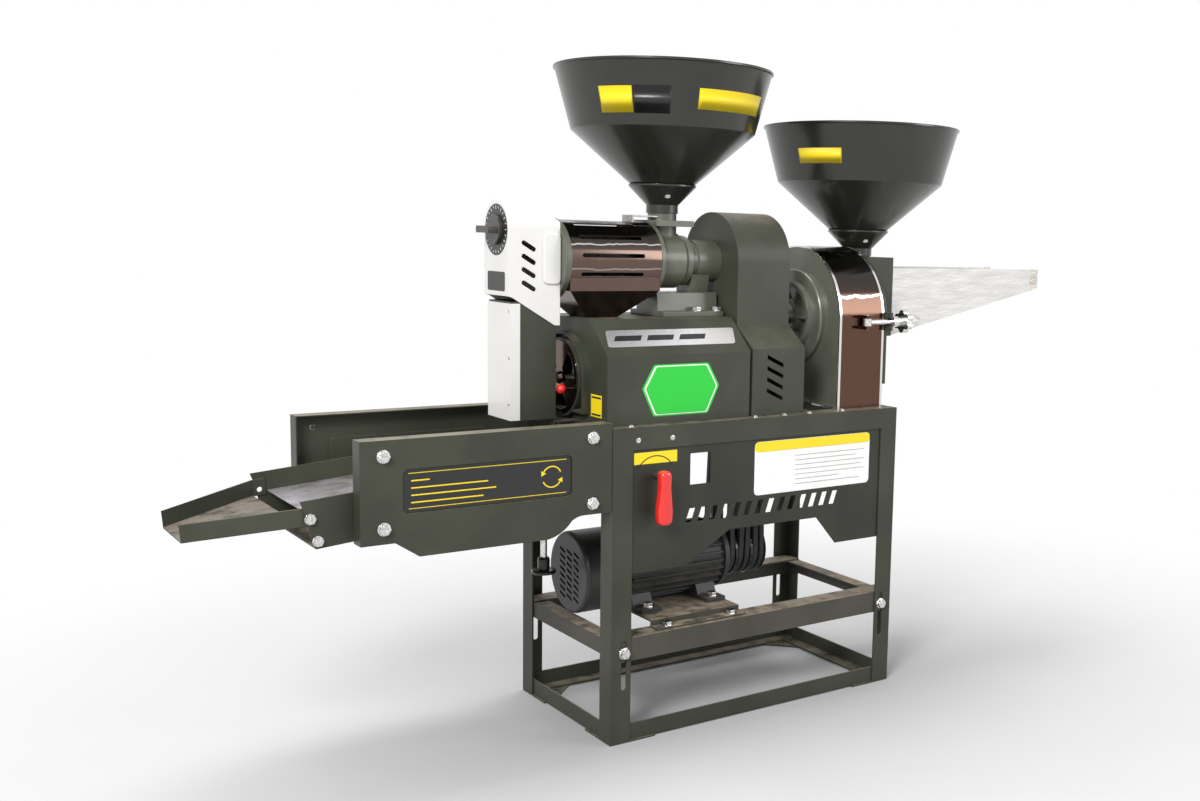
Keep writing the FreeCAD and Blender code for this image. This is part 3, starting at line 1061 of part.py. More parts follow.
def build_crusher():
    """Polished shell, cast side plate, claw rotor, ring screen, hinged door, tray and latch."""
    def arch(shrink, low="frame_height"):
        """Arched outline of the crusher, smaller all round by a formula."""
        half = "(crusher_half - %s)" % shrink
        return [("-" + half, low), (half, low), (half, "crusher_axis"),
                ("0", "crusher_axis + " + half, half, 1), ("-" + half, "crusher_axis", half, 1)]

    shell = new_body("shell")
    pad(shell, "x", [arch("0"), arch("crusher_wall", "frame_height + crusher_wall")],
        "crusher_left", "crusher_right - crusher_left")
    pocket(shell, "z", [rectangle("crusher_left - 1", "-60", "crusher_right + 1", "60")],
           "frame_height - 1", "crusher_wall + 2")
    for side in ("latch_level + 8", "latch_level - 14"):
        pad(shell, "z", [rectangle("latch_start - 10", "-latch_side - 10", "latch_start + 10",
                                   "-crusher_half + 1"),
                         ("circle", "latch_start", "-latch_side", "latch_pivot + running_fit")], side, "6")
    for level in ("crusher_axis - 96", "crusher_axis + 60"):
        pad(shell, "z", [[("crusher_right - 30", "crusher_half - 1"),
                          ("crusher_right - 1", "crusher_half - 1"),
                          ("crusher_right - 1", "hinge_side - knuckle"),
                          ("crusher_right + 8", "hinge_side - knuckle"),
                          ("crusher_right + 8 + knuckle", "hinge_side", "knuckle", 1),
                          ("crusher_right + 8", "hinge_side + knuckle", "knuckle", 1),
                          ("crusher_right - 30", "crusher_half + 4")],
                         ("circle", "crusher_right + 8", "hinge_side", "hinge_pin + running_fit")],
            level, "30")
    pin = rod("z", 1, ("crusher_right + 8", "hinge_side", "crusher_axis - 100"), "hinge_pin",
              "204")
    inside = new_body("inside")
    pad(inside, "x", [arch("crusher_wall", "frame_height + crusher_wall")],
        "crusher_left - 1", "crusher_right - crusher_left + 2")
    keep(group([cut(shell, inside), pin]), "crusher_shell")

    casting = new_body("casting", ("0", "0", "crusher_axis"))
    pad(casting, "x", [[(corner[0], "%s - crusher_axis" % corner[1]) + corner[2:]
                        for corner in arch("(crusher_wall + 0.3)",
                                           "frame_height + crusher_wall + 0.3")]],
        "crusher_left + 1", "5")
    turn(casting, "x", [[("ring_left", "26"), ("ring_left", "34"), ("ring_left + 14", "36"),
                         ("ring_left + 14", "ring_radius - 8"), ("ring_left", "ring_radius - 8"),
                         ("ring_left", "ring_radius"), ("boss_left", "ring_radius + 2"),
                         ("boss_left", "boss_radius - 6"), ("boss_left + 4", "boss_radius", "6", -1),
                         ("crusher_left + 6", "boss_radius"), ("crusher_left + 6", "42"),
                         ("crusher_left + 26", "38"), ("crusher_left + 26", "26")]])
    rib = pad(casting, "x", [rectangle("32", "-3", "ring_radius - 6", "3")], "ring_left + 2", "14")
    repeat_round(casting, rib, "x", "6")
    turn(casting, "x", [[("ring_left - 1", "0"), ("ring_left - 1", "mill_bearing + running_fit"),
                         ("ring_left + bearing_width + 1", "mill_bearing + running_fit"),
                         ("ring_left + bearing_width + 1", "mill_shaft + 4"),
                         ("crusher_left + 9", "mill_shaft + 4"),
                         ("crusher_left + 9", "mill_bearing + running_fit"),
                         ("crusher_left + 27", "mill_bearing + running_fit"),
                         ("crusher_left + 27", "0")]], cut=True)
    keep(casting, "crusher_side_casting")

    rotor = new_body("claws", ("0", "0", "crusher_axis"))
    turn(rotor, "x", [[("crusher_belt_one - pulley_edge", "0"),
                       ("crusher_belt_one - pulley_edge", "mill_shaft"),
                       ("crusher_left + 44", "mill_shaft"), ("crusher_left + 44", "26"),
                       ("crusher_left + 52", "30"), ("crusher_left + 52", "rotor_radius"),
                       ("crusher_left + 60", "rotor_radius"), ("crusher_left + 60", "24"),
                       ("crusher_left + 70", "20"), ("crusher_left + 70", "0")]])
    for ring in ("rotor_radius - 12", "rotor_radius - 44"):
        claw = pad(rotor, "x", [[("-8", "%s - 5" % ring), ("8", "%s - 3" % ring),
                                 ("6", "%s + 6" % ring), ("-5", "%s + 9" % ring)]],
                   "crusher_left + 59", "claw_height")
        repeat_round(rotor, claw, "x", "claw_count")
    keep(rotor, "crusher_rotor")

    ring = new_body("ring", ("0", "0", "crusher_axis"))
    first, last = "crusher_left + 6.3", "crusher_right + 1.7"
    turn(ring, "x", [[(first, "screen_ring"), (first, "screen_ring + 6"),
                      (first + " + 4", "screen_ring + 6"), (first + " + 4", "screen_ring + 2"),
                      (last + " - 4", "screen_ring + 2"), (last + " - 4", "screen_ring + 6"),
                      (last, "screen_ring + 6"), (last, "screen_ring")]])
    keep(ring, "crusher_screen")

    door = new_body("door")
    left = "crusher_right + 2"
    pad(door, "x", [arch("0", "inlet_low - 90")], left, "door_wall")
    pad(door, "x", [rectangle("-inlet_half", "inlet_low", "inlet_half", "inlet_top")],
        left + " + door_wall", "inlet_right - crusher_right - 2 - door_wall")
    pocket(door, "x", [rectangle("-inlet_half + 5", "inlet_low + 5", "inlet_half - 5",
                                 "inlet_top - 5")],
           left + " + door_wall", "inlet_right - crusher_right")
    pocket(door, "x", [("circle", "0", "crusher_axis", "36")], left + " - 1", "door_wall + 2")
    neck = rod("z", 1, ("crusher_neck", "0", "inlet_top - 2"), "neck_radius",
               "crusher_neck_top - inlet_top + 2")
    bore = rod("z", 1, ("crusher_neck", "0", "inlet_top - 8"), "neck_bore", "40")
    teeth = new_body("teeth", ("0", "0", "crusher_axis"))
    tooth = pad(teeth, "x", [rectangle("-5", "rotor_radius - 32", "5", "rotor_radius - 22")],
                "crusher_left + 92", "26")
    repeat_round(teeth, tooth, "x", "12")
    teeth.AllowCompound = True
    knuckle = new_body("knuckle")
    pad(knuckle, "z", [[("crusher_right + 5", "crusher_half - 8"),
                        ("crusher_right + 14", "crusher_half - 8"),
                        ("crusher_right + 17", "hinge_side"),
                        ("crusher_right + 8", "hinge_side + 9", "9", 1),
                        ("crusher_right - 1", "hinge_side", "9", 1)],
                       ("circle", "crusher_right + 8", "hinge_side", "hinge_pin + running_fit")],
        "crusher_axis - 65", "124")
    lug = box((left, "-latch_side - lug_reach", "latch_level - 18"),
              (left + " + door_wall", "-crusher_half + 2", "latch_level + 18"))
    lug_slot = box((left + " - 1", "-latch_side - 13", "latch_level - 7"),
                   (left + " + door_wall + 1", "-latch_side + 7", "latch_level + 7"))
    keep(cut(cut(join([door, neck, teeth, knuckle, lug]), bore), lug_slot), "crusher_door")

    tray = new_body("tray")
    for shrink in ("0", "tray_wall"):
        half, rise = "(inlet_half - %s)" % shrink, "tray_high + 4 * %s" % shrink
        slope(tray, "x", rectangle("-" + half, "tray_deep + " + shrink, half, rise),
              "inlet_right + seat_gap - " + shrink,
              rectangle("-" + half, "tray_low + " + shrink, half, rise), "tray_end + " + shrink,
              cut=shrink != "0")
    keep(tray, "feed_tray")

    latch = new_body("latch", ("latch_start", "-latch_side", "latch_level"))
    pad(latch, "z", [("circle", "0", "0", "latch_eye")], "-latch_eye + 1.5", "2 * latch_eye - 3")
    pad(latch, "x", [("circle", "0", "0", "latch_rod")], "latch_eye / 2",
        "star_right - latch_start - 12 - latch_eye / 2")
    pivot = rod("z", 1, ("latch_start", "-latch_side", "latch_level - 15"), "latch_pivot", "30")
    keep(join([latch, pivot]), "latch_bolt")
    star = new_body("star", ("0", "-latch_side", "latch_level"))
    turn(star, "x", [[("crusher_right + 2 + door_wall + star_gap", "latch_rod + running_fit"),
                      ("crusher_right + 2 + door_wall + star_gap", "latch_eye + 2"),
                      ("star_left", "latch_eye + 1"), ("star_left", "star_radius - 5"),
                      ("star_left + star_wall", "star_radius - 5"),
                      ("star_left + star_wall", "star_radius - 9"), ("star_right", "latch_eye + 2"),
                      ("star_right", "0"), ("star_right - 11", "0"),
                      ("star_right - 11", "latch_rod + running_fit")]])
    lobe = pad(star, "x", [("circle", "0", "star_radius - lobe_radius", "lobe_radius")], "star_left",
               "star_wall")
    repeat_round(star, lobe, "x", "lobe_count")
    keep(star, "latch_knob")


build_crusher()


# ---- selector lever --------------------------------------------------------------------------


def build_selector():
    """Red hand lever on the front, and its shaft with the belt rocker behind the panel."""
    lever = new_body("lever", ("selector_left", "0", "selector_level"))
    face = "-%s - 36" % side_y
    pad(lever, "y", [[("-11", "2", "11.4", 1), ("-15", "-66"), ("-12", "-84", "24", 1),
                      ("12", "-84", "20", 1), ("15", "-66", "24", 1), ("11", "2"),
                      ("0", "12", "11.4", 1)]], face, "20")
    pocket(lever, "y", [("circle", "0", "0", "selector_shaft + running_fit")],
           face + " + 8", "14")
    keep(lever, "selector_lever")

    arm = new_body("arm", ("selector_left", "0", "selector_level"))
    turn_depth = "-%s - 27" % side_y
    pad(arm, "y", [("circle", "0", "0", "selector_shaft")], turn_depth, "72")
    back = "-%s + 20" % inner_y
    pad(arm, "y", [("circle", "0", "0", "selector_shaft + 7")], back, "18")
    pad(arm, "y", [[("-18", "0"), ("-9", "-58"), ("9", "-58", "11", 1), ("18", "0"),
                    ("9", "58"), ("-9", "58", "11", 1)]], back, "5")
    for level in ("-56", "56"):
        pad(arm, "y", [("circle", "0", level, "5")], back + " + 4", "22")
    keep(arm, "selector_arm")


build_selector()


# ---- grading sieve ---------------------------------------------------------------------------

TILT = FreeCAD.Rotation(Vector(0, 1, 0), -SIZES["sieve_slope"])


def tilted(body):
    """Tilt a body about the sieve pivot, where its own origin lies."""
    body.Placement = FreeCAD.Placement(Vector(), FreeCAD.Rotation(Vector(0, 1, 0), 0))
    bind(body, "Placement.Rotation.Angle", "-sieve_slope")
    return place(body, ("pivot_left", "0", "pivot_level"))


def build_sieve():
    """Side covers, tilting cradle, sieve box with its deck, discharge tray and tilt screw."""
    cover = new_body("side_cover")
    right = "-" + side_x
    outline = [("cover_left", "cover_low"), ("cover_left + 54", "cover_low"),
               ("cover_left + 93", "cover_belly"), (right + " - 122", "cover_belly"),
               (right + " - 77", "cover_low + 1", "70", 1),
               (right + " - 55", "cover_low + 8", "40", -1), (right, "cover_low + 8"),
               (right, "cover_top"), ("cover_left", "cover_top")]
    far_screw = right + " - 38.5"
    screws = [("pivot_left", "frame_height - 15"), (far_screw, "frame_height - 12"),
              (far_screw, "frame_height - bridge_screw")]
    holes = [("circle", x, z, "bolt_radius + hole_fit") for x, z in screws]
    holes.append(("circle", "pivot_left", "pivot_level", "bolt_radius + hole_fit"))
    pad(cover, "y", [outline] + holes, "-cover_half", "cover_wall")
    pad(cover, "y", [rectangle("cover_left", "cover_top - cover_wall", right, "cover_top")],
        "-cover_half", "cover_flange")
    pad(cover, "y", [rectangle("cover_left", "cover_low", "cover_left + cover_wall",
                               "cover_top")], "-cover_half", "cover_flange")
    pad(cover, "y", [rectangle(right + " - cover_wall", "cover_low + 8", right, "cover_top")],
        "-cover_half", "cover_flange")
    frame_low, frame_high = "frame_height - recess_low", "frame_height - recess_high"
    frame_left, frame_right = "cover_left + recess_left", right + " - recess_right"
    pad(cover, "y", [soft_rectangle(frame_left, frame_low, frame_right, frame_high, "recess_soft")],
        "-cover_half + cover_wall", "3")
    inner = soft_rectangle(frame_left + " + 3", frame_low + " + 3", frame_right + " - 3",
                           frame_high + " - 3", "(recess_soft - 2)")
    pocket(cover, "y", [inner], "-cover_half - 1", "cover_wall + 2")
    keep(cover, "sieve_cover_front")
    keep(mirror(cover, ACROSS_Y), "sieve_cover_back")

    bridge = new_body("bridge")
    far, foot = "(cover_half - cover_wall)", "frame_height - bridge_low"
    near, top = "(cover_half - cover_wall - bridge_wall)", "frame_height - bridge_high"
    floor = foot + " + bridge_wall + 1"
    pad(bridge, "x", [[("-" + far, foot), (far, foot), (far, top), (near, top), (near, floor),
                       ("-" + near, floor), ("-" + near, top), ("-" + far, top)]],
        "screw_left - 22", "44")
    nut = rod("z", -1, ("screw_left", "0", foot + " + 2"), "nut_radius", "22")
    thread = rod("z", 1, ("screw_left", "0", foot + " - 24"), "screw_radius + running_fit", "40")
    holes = [rod("y", 1, (far_screw, side, "frame_height - bridge_screw"),
                 "bolt_radius + hole_fit", "20")
             for side in ("-cover_half - 5", "cover_half - 15")]
    keep(cut(cut(join([bridge, nut]), thread), join(holes)), "sieve_bridge")

    cradle = tilted(new_body("cradle"))
    far = "(screw_left - pivot_left)"
    pad(cradle, "y", [rectangle("-30", "-25", far + " + 12", "15"),
                      ("circle", "0", "0", "bolt_radius + running_fit")],
        "-cradle_half", "cradle_wall")
    pad(cradle, "y", [rectangle("-30", "-25", far + " + 12", "15"),
                      ("circle", "0", "0", "bolt_radius + running_fit")],
        "cradle_half - cradle_wall", "cradle_wall")
    for middle in ("14", far):
        pad(cradle, "y", [rectangle(middle + " - 11", "-29", middle + " + 11", "-25")],
            "-cradle_half", "2 * cradle_half")
    pads = [tilted(pad_block("%s - 10" % middle, side))
            for middle in ("14", far) for side in ("-120", "100")]
    keep(group([cradle] + pads), "sieve_cradle")

    case = tilted(new_body("case"))
    half = "box_half"
    left_low = "box_left + 16"
    for start in ("-box_half - box_wall", "box_half"):
        pad(case, "y", [[(left_low, "box_low"), ("box_right", "box_low"),
                         ("box_right", "box_high"), ("box_left", "box_high"),
                         ("box_left + 4", "44"), ("box_left + 10", "4")]], start, "box_wall")
    pad(case, "y", [rectangle(left_low, "box_low", "box_right", "box_low + box_wall")],
        "-box_half", "2 * box_half")
    pad(case, "y", [rectangle("box_right - box_wall", "box_low", "box_right", "box_high")],
        "-box_half", "2 * box_half")
    for start in ("-box_half", "box_half - 10"):
        pad(case, "y", [rectangle("box_left + 24", "deck_level - 4", "box_right - box_wall",
                                  "deck_level - 1.8")], start, "10")
    pocket(case, "y", [("circle", "tray_bolt", "tray_bolt_level", "small_bolt + hole_fit"),
                       ("circle", "pan_bolt", "pan_bolt_level", "small_bolt + hole_fit")],
           "-box_half - box_wall - 1", "2 * box_half + 2 * box_wall + 2")
    keep(case, "sieve_box")

    deck = tilted(new_body("deck"))
    pad(deck, "z", [rectangle("box_left + tray_tab + 2", "-box_half + 0.3", "box_right - box_wall - 0.3",
                              "box_half - 0.3")], "deck_level - 1.5", "deck_wall")
    keep(deck, "sieve_deck")

    tray = tilted(new_body("chute"))
    for shrink in ("0", "box_wall"):
        root, tip = "(box_half - seat_gap - %s)" % shrink, "(tip_half - %s)" % shrink
        slope(tray, "x", rectangle("-" + root, "root_low + " + shrink, root,
                                   "root_high + 6 * " + shrink), "box_left + " + shrink,
              rectangle("-" + tip, "tip_low + " + shrink, tip, "tip_high + 6 * " + shrink),
              "tip_left - " + shrink, cut=shrink != "0")
    for start in ("-box_half + seat_gap", "box_half - seat_gap - box_wall"):
        pad(tray, "y", [rectangle("box_left - 0.2", "root_low", "box_left + tray_tab", "root_high"),
                        ("circle", "tray_bolt", "tray_bolt_level", "small_bolt + hole_fit")],
            start, "box_wall")
    keep(tray, "discharge_tray")

    rod_body = new_body("tilt_rod", ("screw_left", "0", "0"))
    tip = "pivot_level + (screw_left - pivot_left) * sin(sieve_slope) - 29 * cos(sieve_slope)"
    pad(rod_body, "z", [("circle", "0", "0", "screw_radius")], "wheel_level - 2",
        "%s - 0.8 - wheel_level + 2" % tip)
    keep(rod_body, "tilt_screw")
    wheel = new_body("wheel", ("screw_left", "0", "wheel_level"))
    turn(wheel, "z", [[("screw_radius + running_fit", "0"), ("wheel_radius - 2", "0"),
                       ("wheel_radius", "2"), ("wheel_radius", "5"), ("wheel_radius - 2", "7"),
                       ("11", "8"), ("11", "26"), ("9", "30"), ("screw_radius + running_fit", "30")]])
    keep(wheel, "tilt_handwheel")
    return screws


def pad_block(left, side):
    """One rubber block between the cradle and the sieve box."""
    block = new_body("block")
    pad(block, "z", [rectangle(left, side, left + " + 20", side + " + 20")], "-25",
        "25 + box_low - 0.3")
    return block


cover_screws = build_sieve()


# ---- bearings and fasteners ------------------------------------------------------------------


def bearing(level, left, inner, outer):
    """Return one ball bearing as a ring with shields, from its left face."""
    body = new_body("ball_bearing", ("0", "0", level))
    turn(body, "x", [[(left, inner + " + running_fit"), (left, outer),
                      (left + " + bearing_width", outer),
                      (left + " + bearing_width", inner + " + running_fit")]])
    return body


def build_small_parts():
    """Ball bearings and all bolts that do not move."""
    mill = [bearing("mill_axis", left, "mill_shaft", "mill_bearing")
            for left in ("housing_left + 0.5", "housing_right - 2.5 - bearing_width")]
    crusher = [bearing("crusher_axis", left, "mill_shaft", "mill_bearing")
               for left in ("ring_left + 0.5", "crusher_left + 9.5")]
    blower = [bearing("blower_axis", left, "blower_shaft", "(mill_bearing - 6)")
              for left in ("blower_right - 75", "blower_right - bearing_width - 0.5")]
    keep(group(mill + crusher + blower), "bearings")

    bolts = []
    for side, sign in (("-", -1), ("", 1)):
        face = side + "cover_half"
        bolts += [bolt("y", sign, (x, face, z), "cover_wall") for x, z in cover_screws[:2]]
        bolts.append(bolt("y", sign, (cover_screws[2][0], face, cover_screws[2][1]),
                          "cover_wall + 2"))
        bolts.append(bolt("y", sign, ("pivot_left", face, "pivot_level"),
                          "cover_half - cradle_half + cradle_wall + 1"))
        for x in ("rail_bolt_left", "rail_bolt_right"):
            bolts.append(bolt("z", 1, (x, side + "rail_bolt_side", "rail_top + plate_wall"),
                              "plate_wall + angle_wall"))
        for x in ("foot_left", "foot_right"):
            bolts.append(bolt("z", 1, (x, side + "foot_bolt",
                                       "rail_top + plate_rise + plate_wall + foot_height"),
                              "foot_height + plate_wall"))
        bolts.append(bolt("x", -1, ("-%s - seat_gap - bracket_wall" % side_x, side + "bracket_bolt",
                                    "frame_height - bracket_level"), "bracket_wall"))
        for x in ("housing_left + 16", "-34"):
            bolts.append(bolt("z", 1, (x, side + "(pedestal_half - 12)",
                                       "blower_top + pedestal_base"), "pedestal_base"))
    for x in ("-%s + leg_slot_inset" % side_x, "%s - leg_slot_inset" % side_x):
        bolts.append(bolt("y", -1, (x, "-" + side_y, "rail_top - 25"), "angle_wall"))
        bolts.append(bolt("y", 1, (x, side_y, "rail_top - 25"), "angle_wall"))
    keep(group(bolts), "frame_bolts")

    tray_bolts = [tilted_bolt("tray_bolt", "tray_bolt_level"),
                  tilted_bolt("pan_bolt", "pan_bolt_level")]
    keep(group(tray_bolts), "sieve_bolts")


def tilted_bolt(x, z):
    """One bolt through the near side plate of the sieve, drawn in the sieve's own frame."""
    body = tilted(new_body("tray_bolt"))
    face = "-box_half - box_wall"
    pad(body, "y", [("circle", x, z, "small_bolt")], face + " - 1", "2 * box_wall + 4")
    pad(body, "y", [("circle", x, z, "washer_radius * 0.8")], face + " - washer_wall",
        "washer_wall")
    pad(body, "y", [[("%s + %.2f" % (x, 8 * math.cos(math.radians(a))),
                      "%s + %.2f" % (z, 8 * math.sin(math.radians(a)))) for a in range(0, 360, 60)]],
        face + " - washer_wall - 5", "5")
    return body


build_small_parts()


# ---- checks and files ------------------------------------------------------------------------


def check_and_write():
    """Stop on any failed object or shape, then write each piece to its own file."""
    doc.recompute()
    for thing in doc.Objects:
        if "Invalid" in thing.State or "Error" in thing.State:
            raise RuntimeError("%s failed: %s" % (thing.Label, thing.State))
        if thing.TypeId in ("PartDesign::Pocket", "PartDesign::Groove"):
            if thing.Shape.Volume > thing.BaseFeature.Shape.Volume - 1:
                raise RuntimeError("%s cuts nothing" % thing.Label)
    for piece in pieces:
        if piece.Shape.isNull() or not piece.Shape.isValid():
            raise RuntimeError("%s has no sound shape" % piece.Label)
    os.makedirs("parts", exist_ok=True)
    for piece in pieces:
        piece.Shape.exportStep("parts/%s.step" % piece.Label)
    print(len(pieces), "pieces written")


check_and_write()
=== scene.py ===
"""Looks of the combined rice huller: finishes, plates, moulded pieces, small bolts and studio.

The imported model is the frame. Every length is in metres, in the frame's own axes: X runs towards the
crusher, Y to the back and Z up.
"""

from dataclasses import dataclass, field
from enum import Enum
import json
import logging
import math

import bmesh
import bpy
from mathutils import Matrix, Vector
import numpy as np


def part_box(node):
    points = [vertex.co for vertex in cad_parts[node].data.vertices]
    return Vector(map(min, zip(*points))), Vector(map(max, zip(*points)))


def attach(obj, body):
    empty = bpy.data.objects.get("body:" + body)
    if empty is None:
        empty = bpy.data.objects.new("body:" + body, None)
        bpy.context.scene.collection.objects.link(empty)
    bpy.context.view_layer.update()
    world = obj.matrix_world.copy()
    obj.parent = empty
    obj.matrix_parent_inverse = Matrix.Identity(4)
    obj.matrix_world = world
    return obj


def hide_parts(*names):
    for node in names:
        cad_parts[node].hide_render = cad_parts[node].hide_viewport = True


LOG = logging.getLogger("rice_huller")
MM = 0.001
RGB = tuple[float, float, float]
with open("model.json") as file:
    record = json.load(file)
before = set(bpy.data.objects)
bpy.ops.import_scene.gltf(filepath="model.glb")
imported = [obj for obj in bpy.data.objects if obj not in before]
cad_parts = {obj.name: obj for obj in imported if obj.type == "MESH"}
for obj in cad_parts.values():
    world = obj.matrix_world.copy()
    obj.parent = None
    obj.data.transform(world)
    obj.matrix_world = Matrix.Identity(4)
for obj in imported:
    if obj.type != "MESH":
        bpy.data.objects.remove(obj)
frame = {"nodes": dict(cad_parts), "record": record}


# ---- shader maths ----


class Channel:
    """A number that comes out of a shader node, with operators that add Math nodes."""

    def __init__(self, graph: "Graph", output: bpy.types.NodeSocket) -> None:
        """Wrap one output.

        Args:
            graph: the material's graph, which adds the nodes.
            output: the socket that carries the number.
        """
        self.graph = graph
        self.output = output

    def maths(self, operation: str, *others: "Channel | float") -> "Channel":
        """Add one Math node.

        Args:
            operation: the node's operation, such as MULTIPLY.
            others: its second and third values.

        Returns:
            The node's result.
        """
        values = {number: other for number, other in enumerate((self, *others))}
        return self.graph.add("ShaderNodeMath", {"operation": operation}, values)

    def __add__(self, other: "Channel | float") -> "Channel":
        """Add a value."""
        return self.maths("ADD", other)

    __radd__ = __add__

    def __mul__(self, other: "Channel | float") -> "Channel":
        """Multiply by a value."""
        return self.maths("MULTIPLY", other)

    __rmul__ = __mul__

    def __sub__(self, other: "Channel | float") -> "Channel":
        """Take a value away."""
        return self.maths("SUBTRACT", other)

    def __rsub__(self, other: float) -> "Channel":
        """Take this from a number."""
        return (self * -1.0) + other

    def __pow__(self, power: float) -> "Channel":
        """Raise to a power."""
        return self.maths("POWER", power)

    def absolute(self) -> "Channel":
        """Drop the sign."""
        return self.maths("ABSOLUTE")

    def wave(self) -> "Channel":
        """Return the sine."""
        return self.maths("SINE")

    def between(self, low: float, high: float) -> "Channel":
        """Rise smoothly from 0 at low to 1 at high.

        Args:
            low: the value that gives 0.
            high: the value that gives 1.

        Returns:
            The eased mask.
        """
        settings = {"interpolation_type": "SMOOTHSTEP"}
        return self.graph.add("ShaderNodeMapRange", settings,
                              {"Value": self, "From Min": low, "From Max": high})


class Graph:
    """The node graph of one material, with the nodes that the finishes share."""

    def __init__(self, name: str) -> None:
        """Start a material.

        Args:
            name: the finish's name.
        """
        self.material = bpy.data.materials.new(name)
        self.material.use_nodes = True
        self.tree = self.material.node_tree
        self.tree.nodes.clear()

    def add(self, kind: str, settings: dict | None = None, values: dict | None = None,
            output: int | str = 0) -> Channel:
        """Add a node.

        Args:
            kind: the node's type.
            settings: attributes, which are set first.
            values: socket name or number to a value or a channel.
            output: the output to return.

        Returns:
            The chosen output.
        """
        node = self.tree.nodes.new(kind)
        for name, setting in (settings or {}).items():
            setattr(node, name, setting)
        for name, value in (values or {}).items():
            if isinstance(value, Channel):
                self.tree.links.new(value.output, node.inputs[name])
            else:
                node.inputs[name].default_value = value
        return Channel(self, node.outputs[output])

    def place(self, scale: tuple[float, float, float] = (1.0, 1.0, 1.0)) -> Channel:
        """Object coordinates, stretched.

        Args:
            scale: factor along each axis.

        Returns:
            The vector.
        """
        point = self.add("ShaderNodeTexCoord", output="Object")
        return self.add("ShaderNodeMapping", values={"Vector": point, "Scale": scale})

    def along(self, axis: str) -> Channel:
        """One object coordinate, in metres.

        Args:
            axis: X, Y or Z.

        Returns:
            The coordinate.
        """
        return self.split(self.place(), axis)

    def facing(self, axis: str) -> Channel:
        """One component of the surface's own normal.

        Args:
            axis: X, Y or Z.

        Returns:
            The component, from -1 to 1.
        """
        return self.split(self.add("ShaderNodeTexCoord", output="Normal"), axis)

    def split(self, vector: Channel, axis: str) -> Channel:
        """Return one component of a vector, by its axis X, Y or Z."""
        return self.add("ShaderNodeSeparateXYZ", values={"Vector": vector}, output=axis)

    def noise(self, scale: float, detail: float = 3.0, rough: float = 0.55,
              stretch: tuple[float, float, float] = (1.0, 1.0, 1.0)) -> Channel:
        """Cloudy noise on object coordinates.

        Args:
            scale: waves in a metre.
            detail: octaves.
            rough: how strong the finer octaves are.
            stretch: factor along each axis.

        Returns:
            The noise, about 0.5.
        """
        return self.add("ShaderNodeTexNoise", values={
            "Vector": self.place(stretch), "Scale": scale, "Detail": detail, "Roughness": rough})

    def blend(self, mask: Channel, first: "RGB | Channel", second: "RGB | Channel") -> Channel:
        """Mix two colours.

        Args:
            mask: 0 gives the first and 1 the second.
            first: a colour.
            second: a colour.

        Returns:
            The mixed colour.
        """
        node = self.tree.nodes.new("ShaderNodeMix")
        node.data_type = "RGBA"
        for number, value in ((0, mask), (6, first), (7, second)):
            if isinstance(value, Channel):
                self.tree.links.new(value.output, node.inputs[number])
            else:
                node.inputs[number].default_value = (*value, 1.0)
        return Channel(self, node.outputs[2])

    def relief(self, height: Channel, depth: float, strength: float = 1.0,
               rounding: float = 0.0) -> Channel:
        """Turn a height into a normal.

        Args:
            height: the height, from 0 to 1.
            depth: metres for a height of 1.
            strength: share of the relief that is used.
            rounding: radius of the edges in metres.

        Returns:
            The normal.
        """
        values = {"Height": height, "Distance": depth, "Strength": strength}
        if rounding:
            values["Normal"] = self.add("ShaderNodeBevel", {"samples": 4}, {"Radius": rounding})
        return self.add("ShaderNodeBump", values=values)

    def finish(self, **sockets: "Channel | float | RGB") -> bpy.types.Material:
        """Add the shader and the output.

        Args:
            sockets: Principled socket name, with _ for a space, to its value or channel.

        Returns:
            The material.
        """
        values = {}
        for name, value in sockets.items():
            coloured = isinstance(value, tuple)
            values[name.replace("_", " ")] = (*value, 1.0) if coloured else value
        shader = self.add("ShaderNodeBsdfPrincipled", values=values)
        node = self.tree.nodes.new("ShaderNodeOutputMaterial")
        self.tree.links.new(shader.output, node.inputs["Surface"])
        return self.material


# ---- finishes ----


class Settling(Enum):
    """How low the slope of a surface may be for dust to stay on it, as its normal's Z."""

    LEDGES = 0.72
    SLOPES = 0.35


@dataclass(frozen=True)
class Paint:
    """Powder coat or enamel on sheet and castings, with settled dust and worn patches."""

    name: str
    colour: RGB
    shine: float = 0.42
    dust: float = 0.35
    dust_colour: RGB = (0.38, 0.31, 0.23)
    peel: float = 0.5
    rounding: float = 1.2 * MM
    coat: float = 0.0
    gloss: float = 0.3
    settling: Settling = Settling.LEDGES

    def material(self) -> bpy.types.Material:
        """Build the paint's nodes and return the material."""
        g = Graph(self.name)
        cloud = g.noise(7.0, 4.0)
        grain = g.noise(900.0, 2.0)
        deep = tuple(part * 0.82 for part in self.colour)
        pale = tuple(min(part * 1.16, 1.0) for part in self.colour)
        tone = g.blend(cloud.between(0.3, 0.7), deep, pale)
        ledges = g.facing("Z").between(self.settling.value, 0.98)
        settled = ledges * g.noise(34.0, 5.0, 0.65).between(0.28, 0.62)
        specks = g.noise(520.0, 2.0, 0.7).between(0.66, 0.78) * cloud.between(0.35, 0.65)
        dust = (settled * self.dust) + (specks * (0.25 * self.dust))
        tone = g.blend(dust, tone, self.dust_colour)
        rough = (cloud * 0.12) + (dust * 0.35) + (self.shine - 0.06)
        normal = g.relief(grain, 0.00012 * self.peel, 0.6, self.rounding)
        return g.finish(Base_Color=tone, Roughness=rough, Normal=normal, Coat_Weight=self.coat,
                        Coat_Roughness=0.12, Specular_IOR_Level=self.gloss)


